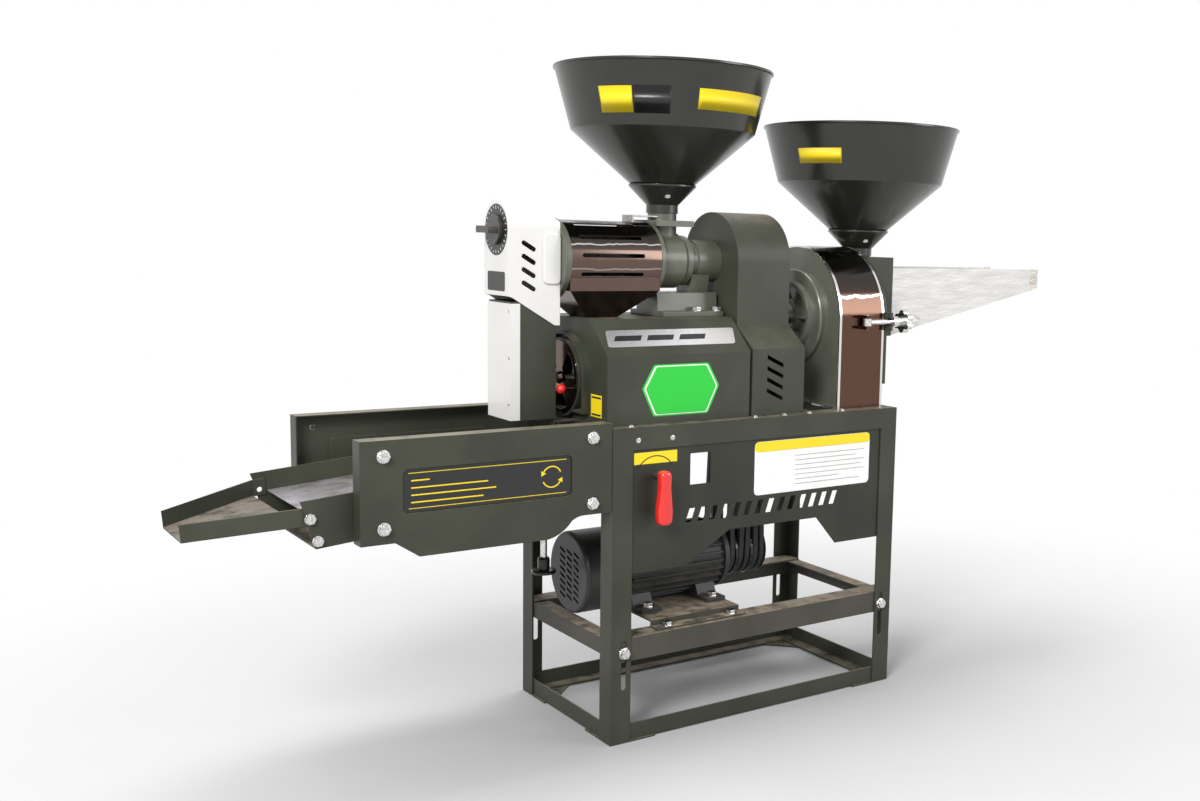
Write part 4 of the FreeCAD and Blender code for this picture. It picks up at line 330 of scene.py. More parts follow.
@dataclass(frozen=True)
class MirrorSheet:
    """Dark polished stainless sheet whose colour is painted reflection: brown where it leans down,
    dark where it faces up, with painted highlight bands by slope and painted highlights along given
    edges.
    """

    name: str
    # brown and dark are painted reflection colours and pale is the painted highlight colour; gleam and
    # width set the slope and spread of the main painted highlight band
    brown: RGB = (0.135, 0.092, 0.076)
    dark: RGB = (0.052, 0.046, 0.044)
    pale: RGB = (0.86, 0.84, 0.82)
    gleam: float = 0.40
    width: float = 0.026
    # edges are the X places of the painted highlights along the sheet's edges, and edge is their width
    edges: tuple[float, ...] = ()
    edge: float = 5.5 * MM

    def material(self) -> bpy.types.Material:
        """Build the sheet's nodes and return the material."""
        g = Graph(self.name)
        lines = g.noise(60.0, 3.0, 0.6, (0.15, 14.0, 14.0))
        smear = g.noise(9.0, 3.0, 0.6, (1.6, 1.0, 1.0))
        up = g.facing("Z") + (smear - 0.5) * 0.24
        # painted reflection: brown where the sheet faces sideways or down, dark where it faces up, and
        # darker again where it faces down
        tone = g.blend(up.between(0.05, 0.62), self.brown, self.dark)
        tone = g.blend((up * -1.0).between(0.15, 0.75) * 0.6, tone, self.dark)
        # painted highlights: pale bands at the gleam's slope, at a slope facing slightly down, and
        # near flat on top
        for place, share in ((self.gleam, 0.75), (self.gleam - 0.62, 0.30), (0.93, 0.5)):
            band = 1.0 - (up - place).absolute().between(0.2 * self.width, self.width)
            tone = g.blend(band * share, tone, self.pale)
        # painted highlights: pale rims along the sheet's edges at the given X places
        for place in self.edges:
            rim = 1.0 - (g.along("X") - place).absolute().between(0.5 * self.edge, 0.6 * self.edge)
            tone = g.blend(rim * 0.85, tone, self.pale)
        rough = (smear.between(0.45, 0.75) * 0.10) + (lines * 0.05) + 0.09
        normal = g.relief(lines, 0.00002, 0.5, 1.0 * MM)
        return g.finish(Base_Color=tone, Metallic=1.0, Roughness=rough, Normal=normal)


@dataclass(frozen=True)
class BareMetal:
    """Zinc plate, machined steel or galvanised sheet, with handling marks."""

    name: str
    colour: RGB
    rough: float = 0.3
    grain: float = 240.0
    dust: float = 0.0
    dust_colour: RGB = (0.33, 0.27, 0.20)
    rounding: float = 0.6 * MM

    def material(self) -> bpy.types.Material:
        """Build the metal's nodes and return the material."""
        g = Graph(self.name)
        marks = g.noise(self.grain, 4.0, 0.6)
        cloud = g.noise(22.0, 4.0)
        dark = tuple(part * 0.62 for part in self.colour)
        tone = g.blend(marks.between(0.35, 0.65), dark, self.colour)
        dust = (g.facing("Z").between(0.4, 0.95) * self.dust) * cloud.between(0.25, 0.6)
        tone = g.blend(dust, tone, self.dust_colour)
        metal = 1.0 - dust * 0.9
        rough = (marks * 0.16) + (dust * 0.45) + (self.rough - 0.05)
        normal = g.relief(marks, 0.00006, 0.5, self.rounding)
        return g.finish(Base_Color=tone, Metallic=metal, Roughness=rough, Normal=normal)


@dataclass(frozen=True)
class Moulded:
    """Moulded plastic or rubber, with a fine texture and light soiling."""

    name: str
    colour: RGB
    rough: float = 0.35
    soil: float = 0.15
    texture: float = 0.4
    coat: float = 0.0
    rounding: float = 1.6 * MM

    def material(self) -> bpy.types.Material:
        """Build the plastic's nodes and return the material."""
        g = Graph(self.name)
        cloud = g.noise(16.0, 5.0, 0.6)
        grain = g.noise(1300.0, 2.0)
        soiled = tuple(part * 0.72 for part in self.colour)
        tone = g.blend(cloud.between(0.45, 0.8) * self.soil * 3.0, self.colour, soiled)
        rough = (cloud * 0.14) + (self.rough - 0.07)
        normal = g.relief(grain, 0.00008 * self.texture, 0.6, self.rounding)
        return g.finish(Base_Color=tone, Roughness=rough, Normal=normal, Coat_Weight=self.coat,
                        Coat_Roughness=0.08)


@dataclass(frozen=True)
class Perforated:
    """Sieve sheet with staggered round holes."""

    name: str
    colour: RGB = (0.72, 0.70, 0.76)
    soiled: RGB = (0.36, 0.31, 0.26)
    hole: RGB = (0.03, 0.03, 0.03)
    pitch: float = 4.4 * MM

    def material(self) -> bpy.types.Material:
        """Build the sheet's nodes and return the material."""
        g = Graph(self.name)
        turn = 2.0 * math.pi / self.pitch
        across = (g.along("X") * turn).wave()
        over = (g.along("Y") * turn).wave()
        dots = (across * over).between(0.05, 0.45)
        cloud = g.noise(26.0, 4.0)
        sheet = g.blend(cloud.between(0.35, 0.7), self.colour, self.soiled)
        tone = g.blend(dots, sheet, self.hole)
        normal = g.relief(1.0 - dots, 0.0006, 0.8)
        return g.finish(Base_Color=tone, Metallic=1.0 - dots, Roughness=(cloud * 0.2) + 0.34,
                        Normal=normal)


@dataclass(frozen=True)
class Film:
    """Thin wrapping film over sheet metal, crinkled, with the metal bare past one edge."""

    name: str
    edge: float
    colour: RGB = (0.70, 0.69, 0.67)
    metal: RGB = (0.46, 0.43, 0.39)

    def material(self) -> bpy.types.Material:
        """Build the film's nodes and return the material."""
        g = Graph(self.name)
        creases = g.noise(26.0, 3.0, 0.5, (0.5, 1.0, 2.4))
        fine = g.noise(150.0, 3.0, 0.6, (0.4, 1.0, 1.5))
        bare = (g.along("X") + (g.noise(40.0, 3.0) - 0.5) * 0.02).between(self.edge, self.edge + MM)
        # painted shade: the film is darker where its crease relief is low
        film = g.blend(creases.between(0.3, 0.7), tuple(0.88 * part for part in self.colour),
                       self.colour)
        tone = g.blend(bare, film, self.metal)
        height = (creases * 0.8) + (fine * 0.2)
        rough = (bare * 0.12) + (fine * 0.12) + 0.22
        return g.finish(Base_Color=tone, Metallic=bare, Roughness=rough,
                        Normal=g.relief(height, 0.0035, 0.8))


FINISHES = {
    "frame_paint": Paint("olive_powder_coat", (0.040, 0.043, 0.030)),
    "guard_paint": Paint("olive_casing_coat", (0.043, 0.047, 0.033), dust=0.3),
    "hopper_paint": Paint("hopper_enamel", (0.016, 0.017, 0.012), shine=0.24, dust=0.08,
                          gloss=0.5, coat=0.15),
    "stainless": MirrorSheet("polished_stainless"),
    "dull_stainless": BareMetal("brushed_stainless", (0.42, 0.40, 0.38), 0.32),
    "cast": Paint("casting_enamel", (0.012, 0.013, 0.011), shine=0.26, dust=0.15, coat=0.3),
    "machined": BareMetal("machined_steel", (0.45, 0.44, 0.43), 0.32),
    "zinc": BareMetal("bright_zinc", (0.80, 0.79, 0.77), 0.18, rounding=1.2 * MM),
    "motor_grey": Paint("motor_enamel", (0.050, 0.053, 0.050), shine=0.4, dust=0.3),
    "cowl_black": Paint("cowl_enamel", (0.030, 0.030, 0.029), shine=0.34, dust=0.2),
    "white_plastic": Moulded("white_moulding", (0.70, 0.69, 0.67), 0.33, 0.06, coat=0.3),
    "grey_plastic": Moulded("taupe_moulding", (0.040, 0.036, 0.032), 0.34, 0.1, coat=0.1),
    "red_plastic": Moulded("red_moulding", (0.72, 0.02, 0.015), 0.25, 0.08, coat=0.5),
    "rubber": Moulded("belt_rubber", (0.02, 0.02, 0.02), 0.6, 0.2, 1.2),
    "deck": Perforated("sieve_sheet"),
    "galvanised": BareMetal("galvanised_sheet", (0.50, 0.47, 0.43), 0.36, 60.0, 0.7),
    "dusty_steel": Paint("dusty_rail_coat", (0.055, 0.052, 0.040), dust=0.8, shine=0.5),
}
# crusher shell: copper painted reflection, a lower gleam band, and painted highlights along its edges
# at X 0.1975 and 0.3075
SHELL = MirrorSheet("polished_shell", brown=(0.120, 0.066, 0.048), gleam=0.30, edges=(0.1975, 0.3075))
# painted shade: a darker copy of the olive paint for the recessed front panel
SHADED_PANEL = Paint("shaded_panel_coat", (0.026, 0.028, 0.020), dust=0.2)
CASTING = Paint("casting_coat", (0.085, 0.090, 0.066), shine=0.34, dust=0.2, gloss=0.6, coat=0.2)
RIM = Paint("rim_coat", (0.105, 0.108, 0.084), shine=0.26, dust=0.2, gloss=0.7, coat=0.4)
CHUTE = Paint("chute_coat", (0.040, 0.043, 0.030), dust=0.9, dust_colour=(0.16, 0.135, 0.11),
              settling=Settling.SLOPES)


# ---- meshes ----


def add_piece(name: str, points: np.ndarray, faces: list[list[int]], smooth: bool = True
              ) -> bpy.types.Object:
    """Put points and quads or polygons into a new piece.

    Args:
        name: the piece's name.
        points: n by 3 places in metres.
        faces: the corner numbers of each face.
        smooth: whether the faces are shaded smooth.

    Returns:
        The object, at the origin.
    """
    mesh = bpy.data.meshes.new(name)
    mesh.from_pydata(points.tolist(), [], faces)
    mesh.polygons.foreach_set("use_smooth", np.full(len(faces), smooth))
    mesh.update()
    piece = bpy.data.objects.new(name, mesh)
    bpy.context.scene.collection.objects.link(piece)
    return piece


def grid_faces(rows: int, columns: int, round_columns: bool = True) -> list[list[int]]:
    """Number the quads of a grid whose points run row by row.

    Args:
        rows: points along the first direction.
        columns: points along the second.
        round_columns: whether the last column joins the first.

    Returns:
        The corner numbers of each quad.
    """
    second = np.arange(columns if round_columns else columns - 1)
    row, column = (part.ravel() for part in np.meshgrid(np.arange(rows - 1), second, indexing="ij"))
    here, below, beside = row * columns, (row + 1) * columns, (column + 1) % columns
    return np.stack([here + column, here + beside, below + beside, below + column], axis=1).tolist()


def rounded_outline(corners: np.ndarray, radius: float, steps: int = 6) -> np.ndarray:
    """Round the corners of a flat outline with arcs.

    Each corner becomes a quadratic curve between the points at the radius along its two sides.

    Args:
        corners: n by 2 corners, counter-clockwise.
        radius: how far the rounding reaches along each side.
        steps: points in each rounding.

    Returns:
        The rounded outline.
    """
    before = np.roll(corners, 1, axis=0) - corners
    after = np.roll(corners, -1, axis=0) - corners
    start = corners + before * (radius / np.linalg.norm(before, axis=1))[:, None]
    stop = corners + after * (radius / np.linalg.norm(after, axis=1))[:, None]
    share = np.linspace(0.0, 1.0, steps)[None, :, None]
    curve = ((1 - share) ** 2 * start[:, None] + 2 * share * (1 - share) * corners[:, None]
             + share ** 2 * stop[:, None])
    return curve.reshape(-1, 2)


def slab(name: str, outline: np.ndarray, base: np.ndarray, thick: float) -> bpy.types.Object:
    """Raise a flat outline into a thin plate.

    Args:
        name: the piece's name.
        outline: n by 2 points in the plane, counter-clockwise seen from outside.
        base: 4 by 3 rows: the plane's origin, its two directions and its outward normal.
        thick: how far the plate stands out.

    Returns:
        The closed piece.
    """
    flat = base[0] + outline[:, :1] * base[1] + outline[:, 1:] * base[2]
    count = len(outline)
    points = np.vstack([flat, flat + base[3] * thick])
    lids = [list(range(count, 2 * count)), list(range(count - 1, -1, -1))]
    return add_piece(name, points, grid_faces(2, count) + lids, smooth=False)


def close_ends(piece: bpy.types.Object) -> bpy.types.Object:
    """Fill a tube's open ends and turn its faces outwards.

    Args:
        piece: the tube.

    Returns:
        The piece, closed.
    """
    whole = bmesh.new()
    whole.from_mesh(piece.data)
    bmesh.ops.holes_fill(whole, edges=whole.edges)
    bmesh.ops.recalc_face_normals(whole, faces=whole.faces)
    whole.to_mesh(piece.data)
    whole.free()
    return piece


def plane(origin: RGB, across: RGB = (1, 0, 0), up: RGB = (0, 0, 1)) -> np.ndarray:
    """Return the four rows that slab needs, for a plane that faces the front unless told otherwise.

    Args:
        origin: a point on the plane.
        across: direction of the outline's first coordinate.
        up: direction of its second.

    Returns:
        Origin, the two unit directions and their outward normal.
    """
    first = np.array(across) / np.linalg.norm(across)
    second = np.array(up) / np.linalg.norm(up)
    return np.array([origin, first, second, np.cross(first, second)])


def box_outline(left: float, low: float, right: float, high: float) -> np.ndarray:
    """Return the corners of a rectangle, counter-clockwise."""
    return np.array([(left, low), (right, low), (right, high), (left, high)])


def arc_band(centre: np.ndarray, radius: float, width: float, sweep: np.ndarray) -> np.ndarray:
    """Outline a band along an arc: its outer edge forwards, then its inner edge backwards.

    Args:
        centre: the arc's centre.
        radius: the arc's radius.
        width: half the band's width.
        sweep: the angles along the arc, in radians.

    Returns:
        The outline, counter-clockwise.
    """
    ring = np.c_[np.cos(sweep), np.sin(sweep)]
    return np.vstack([centre + (radius + width) * ring, centre + (radius - width) * ring[::-1]])


def join_pieces(name: str, parts: list[bpy.types.Object]) -> bpy.types.Object:
    """Make one piece of several.

    Args:
        name: the piece's new name.
        parts: the pieces, which end in the first.

    Returns:
        The joined piece.
    """
    whole = bmesh.new()
    for part in parts:
        whole.from_mesh(part.data)
        if part is not parts[0]:
            bpy.data.objects.remove(part)
    whole.to_mesh(parts[0].data)
    whole.free()
    parts[0].name = name
    return parts[0]


def dress(piece: bpy.types.Object, finish: object, body: str = "frame") -> bpy.types.Object:
    """Give a piece its finish, body and material slot, and log it.

    Args:
        piece: the piece.
        finish: the finish, whose material is made once.
        body: the body that it rides on.

    Returns:
        The piece.
    """
    piece.data.materials.clear()
    piece.data.materials.append(material_of(finish))
    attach(piece, body)
    LOG.info("%s rides on %s in %s", piece.name, body, finish.name)
    return piece


MADE: dict[str, bpy.types.Material] = {}


def material_of(finish: object) -> bpy.types.Material:
    """Build a finish's material, or return the one that was built before."""
    if finish.name not in MADE:
        MADE[finish.name] = finish.material()
    return MADE[finish.name]


# ---- castings, sheet and shafts from the frame ----


@dataclass
class Machine:
    """All pieces that the frame already gives, each with its finish."""

    special: dict[str, object] = field(default_factory=dict)

    def dress(self) -> None:
        """Give each node of the frame the finish of its slot, or its own finish."""
        slots = {part["node"]: part["material_slot"] for part in frame["record"]["subparts"]}
        for node, piece in frame["nodes"].items():
            finish = self.special.get(node) or FINISHES[slots[node]]
            for number in range(len(piece.material_slots)):
                piece.material_slots[number].material = material_of(finish)
            LOG.info("%s wears %s", node, finish.name)


# ---- plates ----


GREEN = Moulded("green_plate_print", (0.015, 0.55, 0.04), 0.3, 0.05, 0.1)
WHITE = Moulded("white_plate_print", (0.86, 0.86, 0.85), 0.35, 0.06, 0.1)
YELLOW = Moulded("yellow_plate_print", (0.88, 0.66, 0.012), 0.35, 0.04, 0.1)
BLACK = Moulded("black_plate_print", (0.012, 0.012, 0.012), 0.3, 0.1, 0.1)
GREY = Moulded("grey_rule_print", (0.45, 0.44, 0.43), 0.5, 0.1, 0.1)
SILVER = BareMetal("silver_strip", (0.93, 0.91, 0.92), 0.3, 900.0)


@dataclass
class Plates:
    """Plain coloured plates and rule lines on the casing, panel and side covers."""

    thick: float = 0.35 * MM
    casing_front: float = -0.147
    panel_front: float = -0.1695
    cover_front: float = -0.168

    def plate(self, name: str, outline: np.ndarray, where: np.ndarray, finish: object,
              layer: int = 1, slot: str = "white_plastic") -> bpy.types.Object:
        """Lay one plate on a plane.

        Args:
            name: the piece's name.
            outline: its outline in the plane.
            where: the plane.
            finish: its finish.
            layer: how many layers lie at this place, from 1.
            slot: the record's material slot; not used.

        Returns:
            The piece.
        """
        return dress(slab(name, outline, where, self.thick * layer), finish, "frame")

    def mark(self, outline: np.ndarray, where: np.ndarray) -> bpy.types.Object:
        """Lay one undressed mark on a plate.

        Args:
            outline: its outline in the plane.
            where: the plane.

        Returns:
            The mark.
        """
        return slab("mark", outline, where, self.thick * 2)

    def casing_plates(self) -> None:
        """Green six-sided plate with its white rim, and the silver strip above it."""
        front = plane((-0.1725, self.casing_front, 0.6235))
        half_width, half_height = 0.0815, 0.046
        shoulder = 0.0575
        shape = np.array([(-half_width, 0.004), (-shoulder, -half_height), (shoulder, -half_height),
                          (half_width, 0.004), (shoulder, half_height), (-shoulder, half_height)])
        for number, (share, finish) in enumerate(((1.0, GREEN), (0.95, WHITE), (0.91, GREEN))):
            outline = rounded_outline(shape * share, 0.004)
            self.plate("casing_plate_%d" % number, outline, front, finish, layer=number + 1)
        brow = plane((-0.172, -0.1175, 0.7145), (1, 0, 0), (0.0, 63.0, 59.0))
        strip = np.array([(-0.141, -0.0195), (0.126, -0.0195), (0.139, 0.0195), (-0.132, 0.0195)])
        self.plate("casing_strip", rounded_outline(strip, 0.006), brow, SILVER, slot="zinc")
        for number, (left, right) in enumerate(((-0.125, -0.063), (-0.058, 0.004), (0.009, 0.072))):
            bar = np.array([(left, -0.006), (right - 0.008, -0.006), (right, 0.006),
                            (left + 0.008, 0.006)])
            self.plate("casing_strip_bar_%d" % number, bar, brow, BLACK, layer=2)

    def panel_plates(self) -> None:
        """White plate with its yellow head and rule lines, and the yellow strip over the lever."""
        front = plane((0.0, self.panel_front, 0.0))
        whole = box_outline(-0.023, 0.4185, 0.258, 0.5195)
        self.plate("notice_plate", rounded_outline(whole, 0.010), front, WHITE)
        head = box_outline(-0.0225, 0.500, 0.2575, 0.519)
        self.plate("notice_head", rounded_outline(head, 0.0085), front, YELLOW, layer=2)
        lengths = (0.172, 0.150, 0.172, 0.165, 0.172, 0.110, 0.160)
        rules = [self.mark(box_outline(0.072, level, 0.072 + length, level + 0.0013), front)
                 for level, length in zip(np.linspace(0.487, 0.432, 7), lengths)]
        dress(join_pieces("notice_rules", rules), GREY)
        strip = box_outline(-0.282, 0.4985, -0.1935, 0.5195)
        self.plate("lever_plate", rounded_outline(strip, 0.0015), front, YELLOW)
        sweep = np.radians(np.linspace(40.0, 140.0, 25))
        middle, radius, width = np.array((-0.238, 0.470)), 0.042, 0.0009
        marks = [self.mark(arc_band(middle, radius, width, sweep), front)]
        for side in (-1.0, 1.0):
            tip = np.array([(0.0, 0.004), (side * 0.007, 0.0), (0.0, -0.004)])[::int(-side)]
            foot = middle + radius * np.array((side * math.cos(sweep[0]), math.sin(sweep[0])))
            lean = -side * math.radians(48.0)
            turned = tip @ np.array([(math.cos(lean), math.sin(lean)),
                                     (-math.sin(lean), math.cos(lean))])
            marks.append(self.mark(turned + foot, front))
        dress(join_pieces("lever_arrow", marks), BLACK)

    def cover_plates(self) -> None:
        """Black field of the front side cover, with two yellow rule lines and turning arrows."""
        front = plane((0.0, self.cover_front, 0.0))
        field_outline = rounded_outline(box_outline(-0.6935, 0.4575, -0.4025, 0.5265), 0.008)
        self.plate("cover_field", field_outline, front, BLACK)
        lines = [self.mark(box_outline(-0.684, level, -0.412, level + 0.0012), front)
                 for level in (0.4635, 0.5195)]
        for level, length in zip((0.507, 0.4955, 0.484, 0.4725), (0.030, 0.128, 0.142, 0.120)):
            row = box_outline(-0.680, level, -0.680 + length, level + 0.0022)
            lines.append(self.mark(row, front))
        centre, radius, width = np.array((-0.4385, 0.4925)), 0.0175, 0.0011
        for start in (25.0, 205.0):
            sweep = np.radians(np.linspace(start, start + 125.0, 22))
            lines.append(self.mark(arc_band(centre, radius, width, sweep), front))
            out = np.array((math.cos(sweep[-1]), math.sin(sweep[-1])))
            tip, ahead = centre + radius * out, np.array((-out[1], out[0]))
            arrow = np.array([tip + ahead * 0.008, tip + out * -0.005, tip + out * 0.005])[::-1]
            lines.append(self.mark(arrow, front))
        dress(join_pieces("cover_lines", lines), YELLOW)

    def small_plates(self) -> None:
        """Yellow plate beside the air inlet, with two black bars."""
        left = plane((-0.323, 0.0, 0.0), (0, -1, 0))
        self.plate("inlet_plate", box_outline(0.090, 0.5775, 0.128, 0.617), left, YELLOW)
        for side, low in (("upper", 0.6105), ("lower", 0.5805)):
            self.plate("inlet_plate_" + side, box_outline(0.093, low, 0.125, low + 0.003), left,
                       BLACK, layer=2)

    def build(self) -> None:
        """Lay all plates."""
        self.casing_plates()
        self.panel_plates()
        self.cover_plates()
        self.small_plates()


@dataclass
class HopperPlates:
    """Plain coloured plates that follow a hopper's sloping wall."""

    centre: float
    low: float
    low_radius: float
    high: float
    high_radius: float
    body: str
    lift: float = 0.4 * MM

    def plate(self, name: str, start: float, stop: float, bottom: float, top: float,
              finish: object) -> bpy.types.Object:
        """Lay one plate on the cone.

        A point of the grid is at an angle about the hopper's axis and at a height, and it lies the
        plate's lift outside the cone's radius at that height.

        Args:
            name: the piece's name.
            start: first angle in degrees, from the front towards the crusher.
            stop: last angle.
            bottom: lower edge.
            top: upper edge.
            finish: its finish.

        Returns:
            The piece.
        """
        rows, columns = 3, 24
        angle, height = np.meshgrid(np.radians(np.linspace(start, stop, columns)),
                                    np.linspace(bottom, top, rows))
        share = (height - self.low) / (self.high - self.low)
        radius = self.low_radius + share * (self.high_radius - self.low_radius)
        radius = radius + self.lift
        points = np.stack([self.centre + radius * np.sin(angle), -radius * np.cos(angle), height],
                          axis=-1).reshape(-1, 3)
        piece = add_piece(name, points, grid_faces(rows, columns, round_columns=False))
        wall = piece.modifiers.new("wall", "SOLIDIFY")
        wall.thickness = 0.5 * MM
        return dress(piece, finish, self.body)


# ---- dial and lever ----


@dataclass
class Dial:
    """Black ring with white ticks round the setting knob."""

    face: float = -0.460
    level: float = 0.898
    radius: float = 0.0440
    inner: float = 0.0335
    margin: float = 0.003
    half_tick: float = 0.0006
    ticks: int = 24

    def build(self) -> None:
        """Lay the ring, its ticks and the dark plate under them on the head's left face."""
        where = plane((self.face, 0.0, self.level), (0, -1, 0))
        round_way = np.linspace(0.0, 2.0 * math.pi, 72, endpoint=False)
        circle = np.c_[np.cos(round_way), np.sin(round_way)]
        ring = slab("dial_ring", circle * self.radius, where, 0.5 * MM)
        dress(ring, BLACK)
        marks = []
        for number, angle in enumerate(np.linspace(0, 2 * math.pi, self.ticks, endpoint=False)):
            out = np.array((math.cos(angle), math.sin(angle)))
            side = np.array((-out[1], out[0])) * self.half_tick
            near = out * (self.inner + (0.0035 if number % 2 else 0.0015))
            far = out * (self.radius - self.margin)
            tick = np.array([near - side, far - side, far + side, near + side])
            marks.append(slab("tick", tick, where, 0.8 * MM))
        dress(join_pieces("dial_ticks", marks), WHITE)
        badge = box_outline(-0.034, 0.7935, 0.034, 0.8265) - np.array((0.0, self.level))
        plate = slab("head_plate", rounded_outline(badge, 0.004), where, 0.5 * MM)
        dress(plate, BLACK)


@dataclass
class HandLever:
    """Red moulded selector lever, as a tapered bar with a rounded section.

    A point at share s along the bar and angle a round it lies on a rounded rectangle, whose half
    width and half depth are smooth curves of s.
    """

    pivot: tuple[float, float] = (-0.237, 0.478)
    front: float = -0.2085
    back: float = -0.1885
    top: float = 0.012
    bottom: float = -0.086
    squareness: float = 3.2

    def build(self) -> None:
        """Make the bar, and let it stand for the plain lever."""
        rows, columns = 40, 36
        share = np.linspace(0.0, 1.0, rows)
        along = self.top + (self.bottom - self.top) * share
        width = np.interp(share, (0.0, 0.12, 0.3, 0.75, 1.0), (11.5, 11.5, 11.0, 15.5, 13.5)) * MM
        caps = np.clip(np.minimum(share, 1.0 - share) / 0.10, 0.0, 1.0)
        swell = np.sqrt(1.0 - (1.0 - caps) ** 2)
        depth = (self.back - self.front) / 2 * np.clip(0.55 + 0.45 * swell, 0.0, 1.0)
        width = width * np.clip(0.30 + 0.70 * swell, 0.0, 1.0)
        angle = np.linspace(0.0, 2.0 * math.pi, columns, endpoint=False)
        power = 2.0 / self.squareness
        flat = np.sign(np.cos(angle)) * np.abs(np.cos(angle)) ** power
        deep = np.sign(np.sin(angle)) * np.abs(np.sin(angle)) ** power
        middle = (self.front + self.back) / 2
        points = np.stack([self.pivot[0] + width[:, None] * flat[None, :],
                           middle + depth[:, None] * deep[None, :],
                           np.repeat((self.pivot[1] + along)[:, None], columns, axis=1)], axis=-1)
        bar = add_piece("hand_lever", points.reshape(-1, 3), grid_faces(rows, columns))
        piece = close_ends(bar)
        smoothing = piece.modifiers.new("smoothing", "SUBSURF")
        smoothing.levels = smoothing.render_levels = 1
        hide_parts("selector_lever")
        dress(piece, FINISHES["red_plastic"], "selector")


# ---- head, pedestal and small fasteners ----


def carve(piece: bpy.types.Object, tool: bpy.types.Object, operation: str) -> bpy.types.Object:
    """Change a closed piece by another one, which is used up.

    Args:
        piece: the piece that stays.
        tool: the piece that shapes it.
        operation: INTERSECT, DIFFERENCE or UNION.

    Returns:
        The changed piece.
    """
    step = piece.modifiers.new("carve", "BOOLEAN")
    step.operation, step.object, step.solver = operation, tool, "EXACT"
    return settle(piece, tool)


def settle(piece: bpy.types.Object, *used: bpy.types.Object) -> bpy.types.Object:
    """Turn a piece's modifiers into its mesh, and remove what was used up.

    Args:
        piece: the piece.
        used: objects that are no longer needed.

    Returns:
        The piece.
    """
    shaped = piece.evaluated_get(bpy.context.evaluated_depsgraph_get())
    piece.data = bpy.data.meshes.new_from_object(shaped)
    piece.modifiers.clear()
    for tool in used:
        bpy.data.objects.remove(tool)
    return piece


def soften(piece: bpy.types.Object, radius: float, steps: int = 3) -> bpy.types.Object:
    """Round a piece's sharp edges.

    Args:
        piece: the piece.
        radius: size of the rounding.
        steps: faces in each rounding.

    Returns:
        The piece.
    """
    edges = piece.modifiers.new("edges", "BEVEL")
    edges.width, edges.segments, edges.limit_method = radius, steps, "ANGLE"
    edges.angle_limit = math.radians(35.0)
    edges.harden_normals = True
    return settle(piece)


@dataclass
class HeadCover:
    """White moulded head over the mill's outlet, with slanted slots and a raised pad.

    Its outside is the part common to two prisms: an arch seen from the end, and a side outline
    with a flat top, a slanting shoulder and a slanting foot.
    """

    half: float = 0.047
    wall: float = 0.0025
    flat: float = 0.040
    shoulder: float = 0.035
    soft: float = 0.007
    slots: int = 4
    slot_inset: float = 0.0288
    slot_level: float = 0.8768
    slot_pitch: float = 0.0227
    slot_radius: float = 0.004

    def solid(self, shrink: float) -> bpy.types.Object:
        """Make the closed outside, or the hollow inside it.

        Args:
            shrink: how far it lies inside the outside.

        Returns:
            The solid.
        """
        low, high = (np.array(corner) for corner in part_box("head_cover"))
        half, top = self.half - shrink, high[2] - shrink
        turn = np.linspace(0.0, math.pi, 33)
        crown = np.c_[half * np.cos(turn), high[2] - self.half + half * np.sin(turn)]
        foot = low[2] - 2.0 * shrink
        arch = np.vstack([[(-half, foot), (half, foot)], crown])
        across = slab("head_arch", arch, plane((low[0] + shrink, 0, 0), (0, 1, 0)),
                      high[0] - low[0])
        front_low = low[2] + 0.051
        side = np.array([(low[0], front_low - shrink), (low[0] + 0.007, front_low - 0.002 - shrink),
                         (high[0] - 0.010, low[2] - shrink), (high[0], low[2] - shrink),
                         (high[0], top - self.shoulder), (low[0] + self.flat, top), (low[0], top)])
        side[side[:, 0] < low[0] + shrink, 0] = low[0] + shrink
        along = slab("head_side", side, plane((0, self.half + MM, 0)),
                     2.0 * self.half + 2.0 * MM)
        return carve(across, along, "INTERSECT")

    def slot(self, left: float, level: float) -> bpy.types.Object:
        """Make the block that cuts one slanted slot with round ends.

        Args:
            left: where its upper end's centre lies.
            level: height of that centre.

        Returns:
            The block.
        """
        run = np.array((0.019, -0.0112))
        lean = math.atan2(run[1], run[0])
        ends = [np.linspace(lean + quarter, lean + quarter + math.pi, 12)
                for quarter in (math.pi / 2, -math.pi / 2)]
        outline = np.vstack([np.array((left, level)) + share * run
                             + self.slot_radius * np.c_[np.cos(turn), np.sin(turn)]
                             for share, turn in zip((0.0, 1.0), ends)])
        return slab("head_slot", outline, plane((0, -self.half + 0.006, 0)),
                    0.010)

    def build(self) -> None:
        """Hollow the head, cut its slots, and let it stand for the plain one."""
        low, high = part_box("head_cover")
        shell = soften(self.solid(0.0), self.soft)
        carve(shell, self.solid(self.wall), "DIFFERENCE")
        for number in range(self.slots):
            level = self.slot_level - number * self.slot_pitch
            carve(shell, self.slot(low[0] + self.slot_inset, level), "DIFFERENCE")
        shell.name = "moulded_head"
        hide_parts("head_cover")
        dress(shell, FINISHES["white_plastic"])
        pad = rounded_outline(box_outline(low[0] + 0.065, 0.806, high[0], 0.894), 0.010)
        raised = slab("head_pad", pad, plane((0, -self.half + MM, 0)), 0.005)
        dress(soften(raised, 0.0028), FINISHES["white_plastic"])


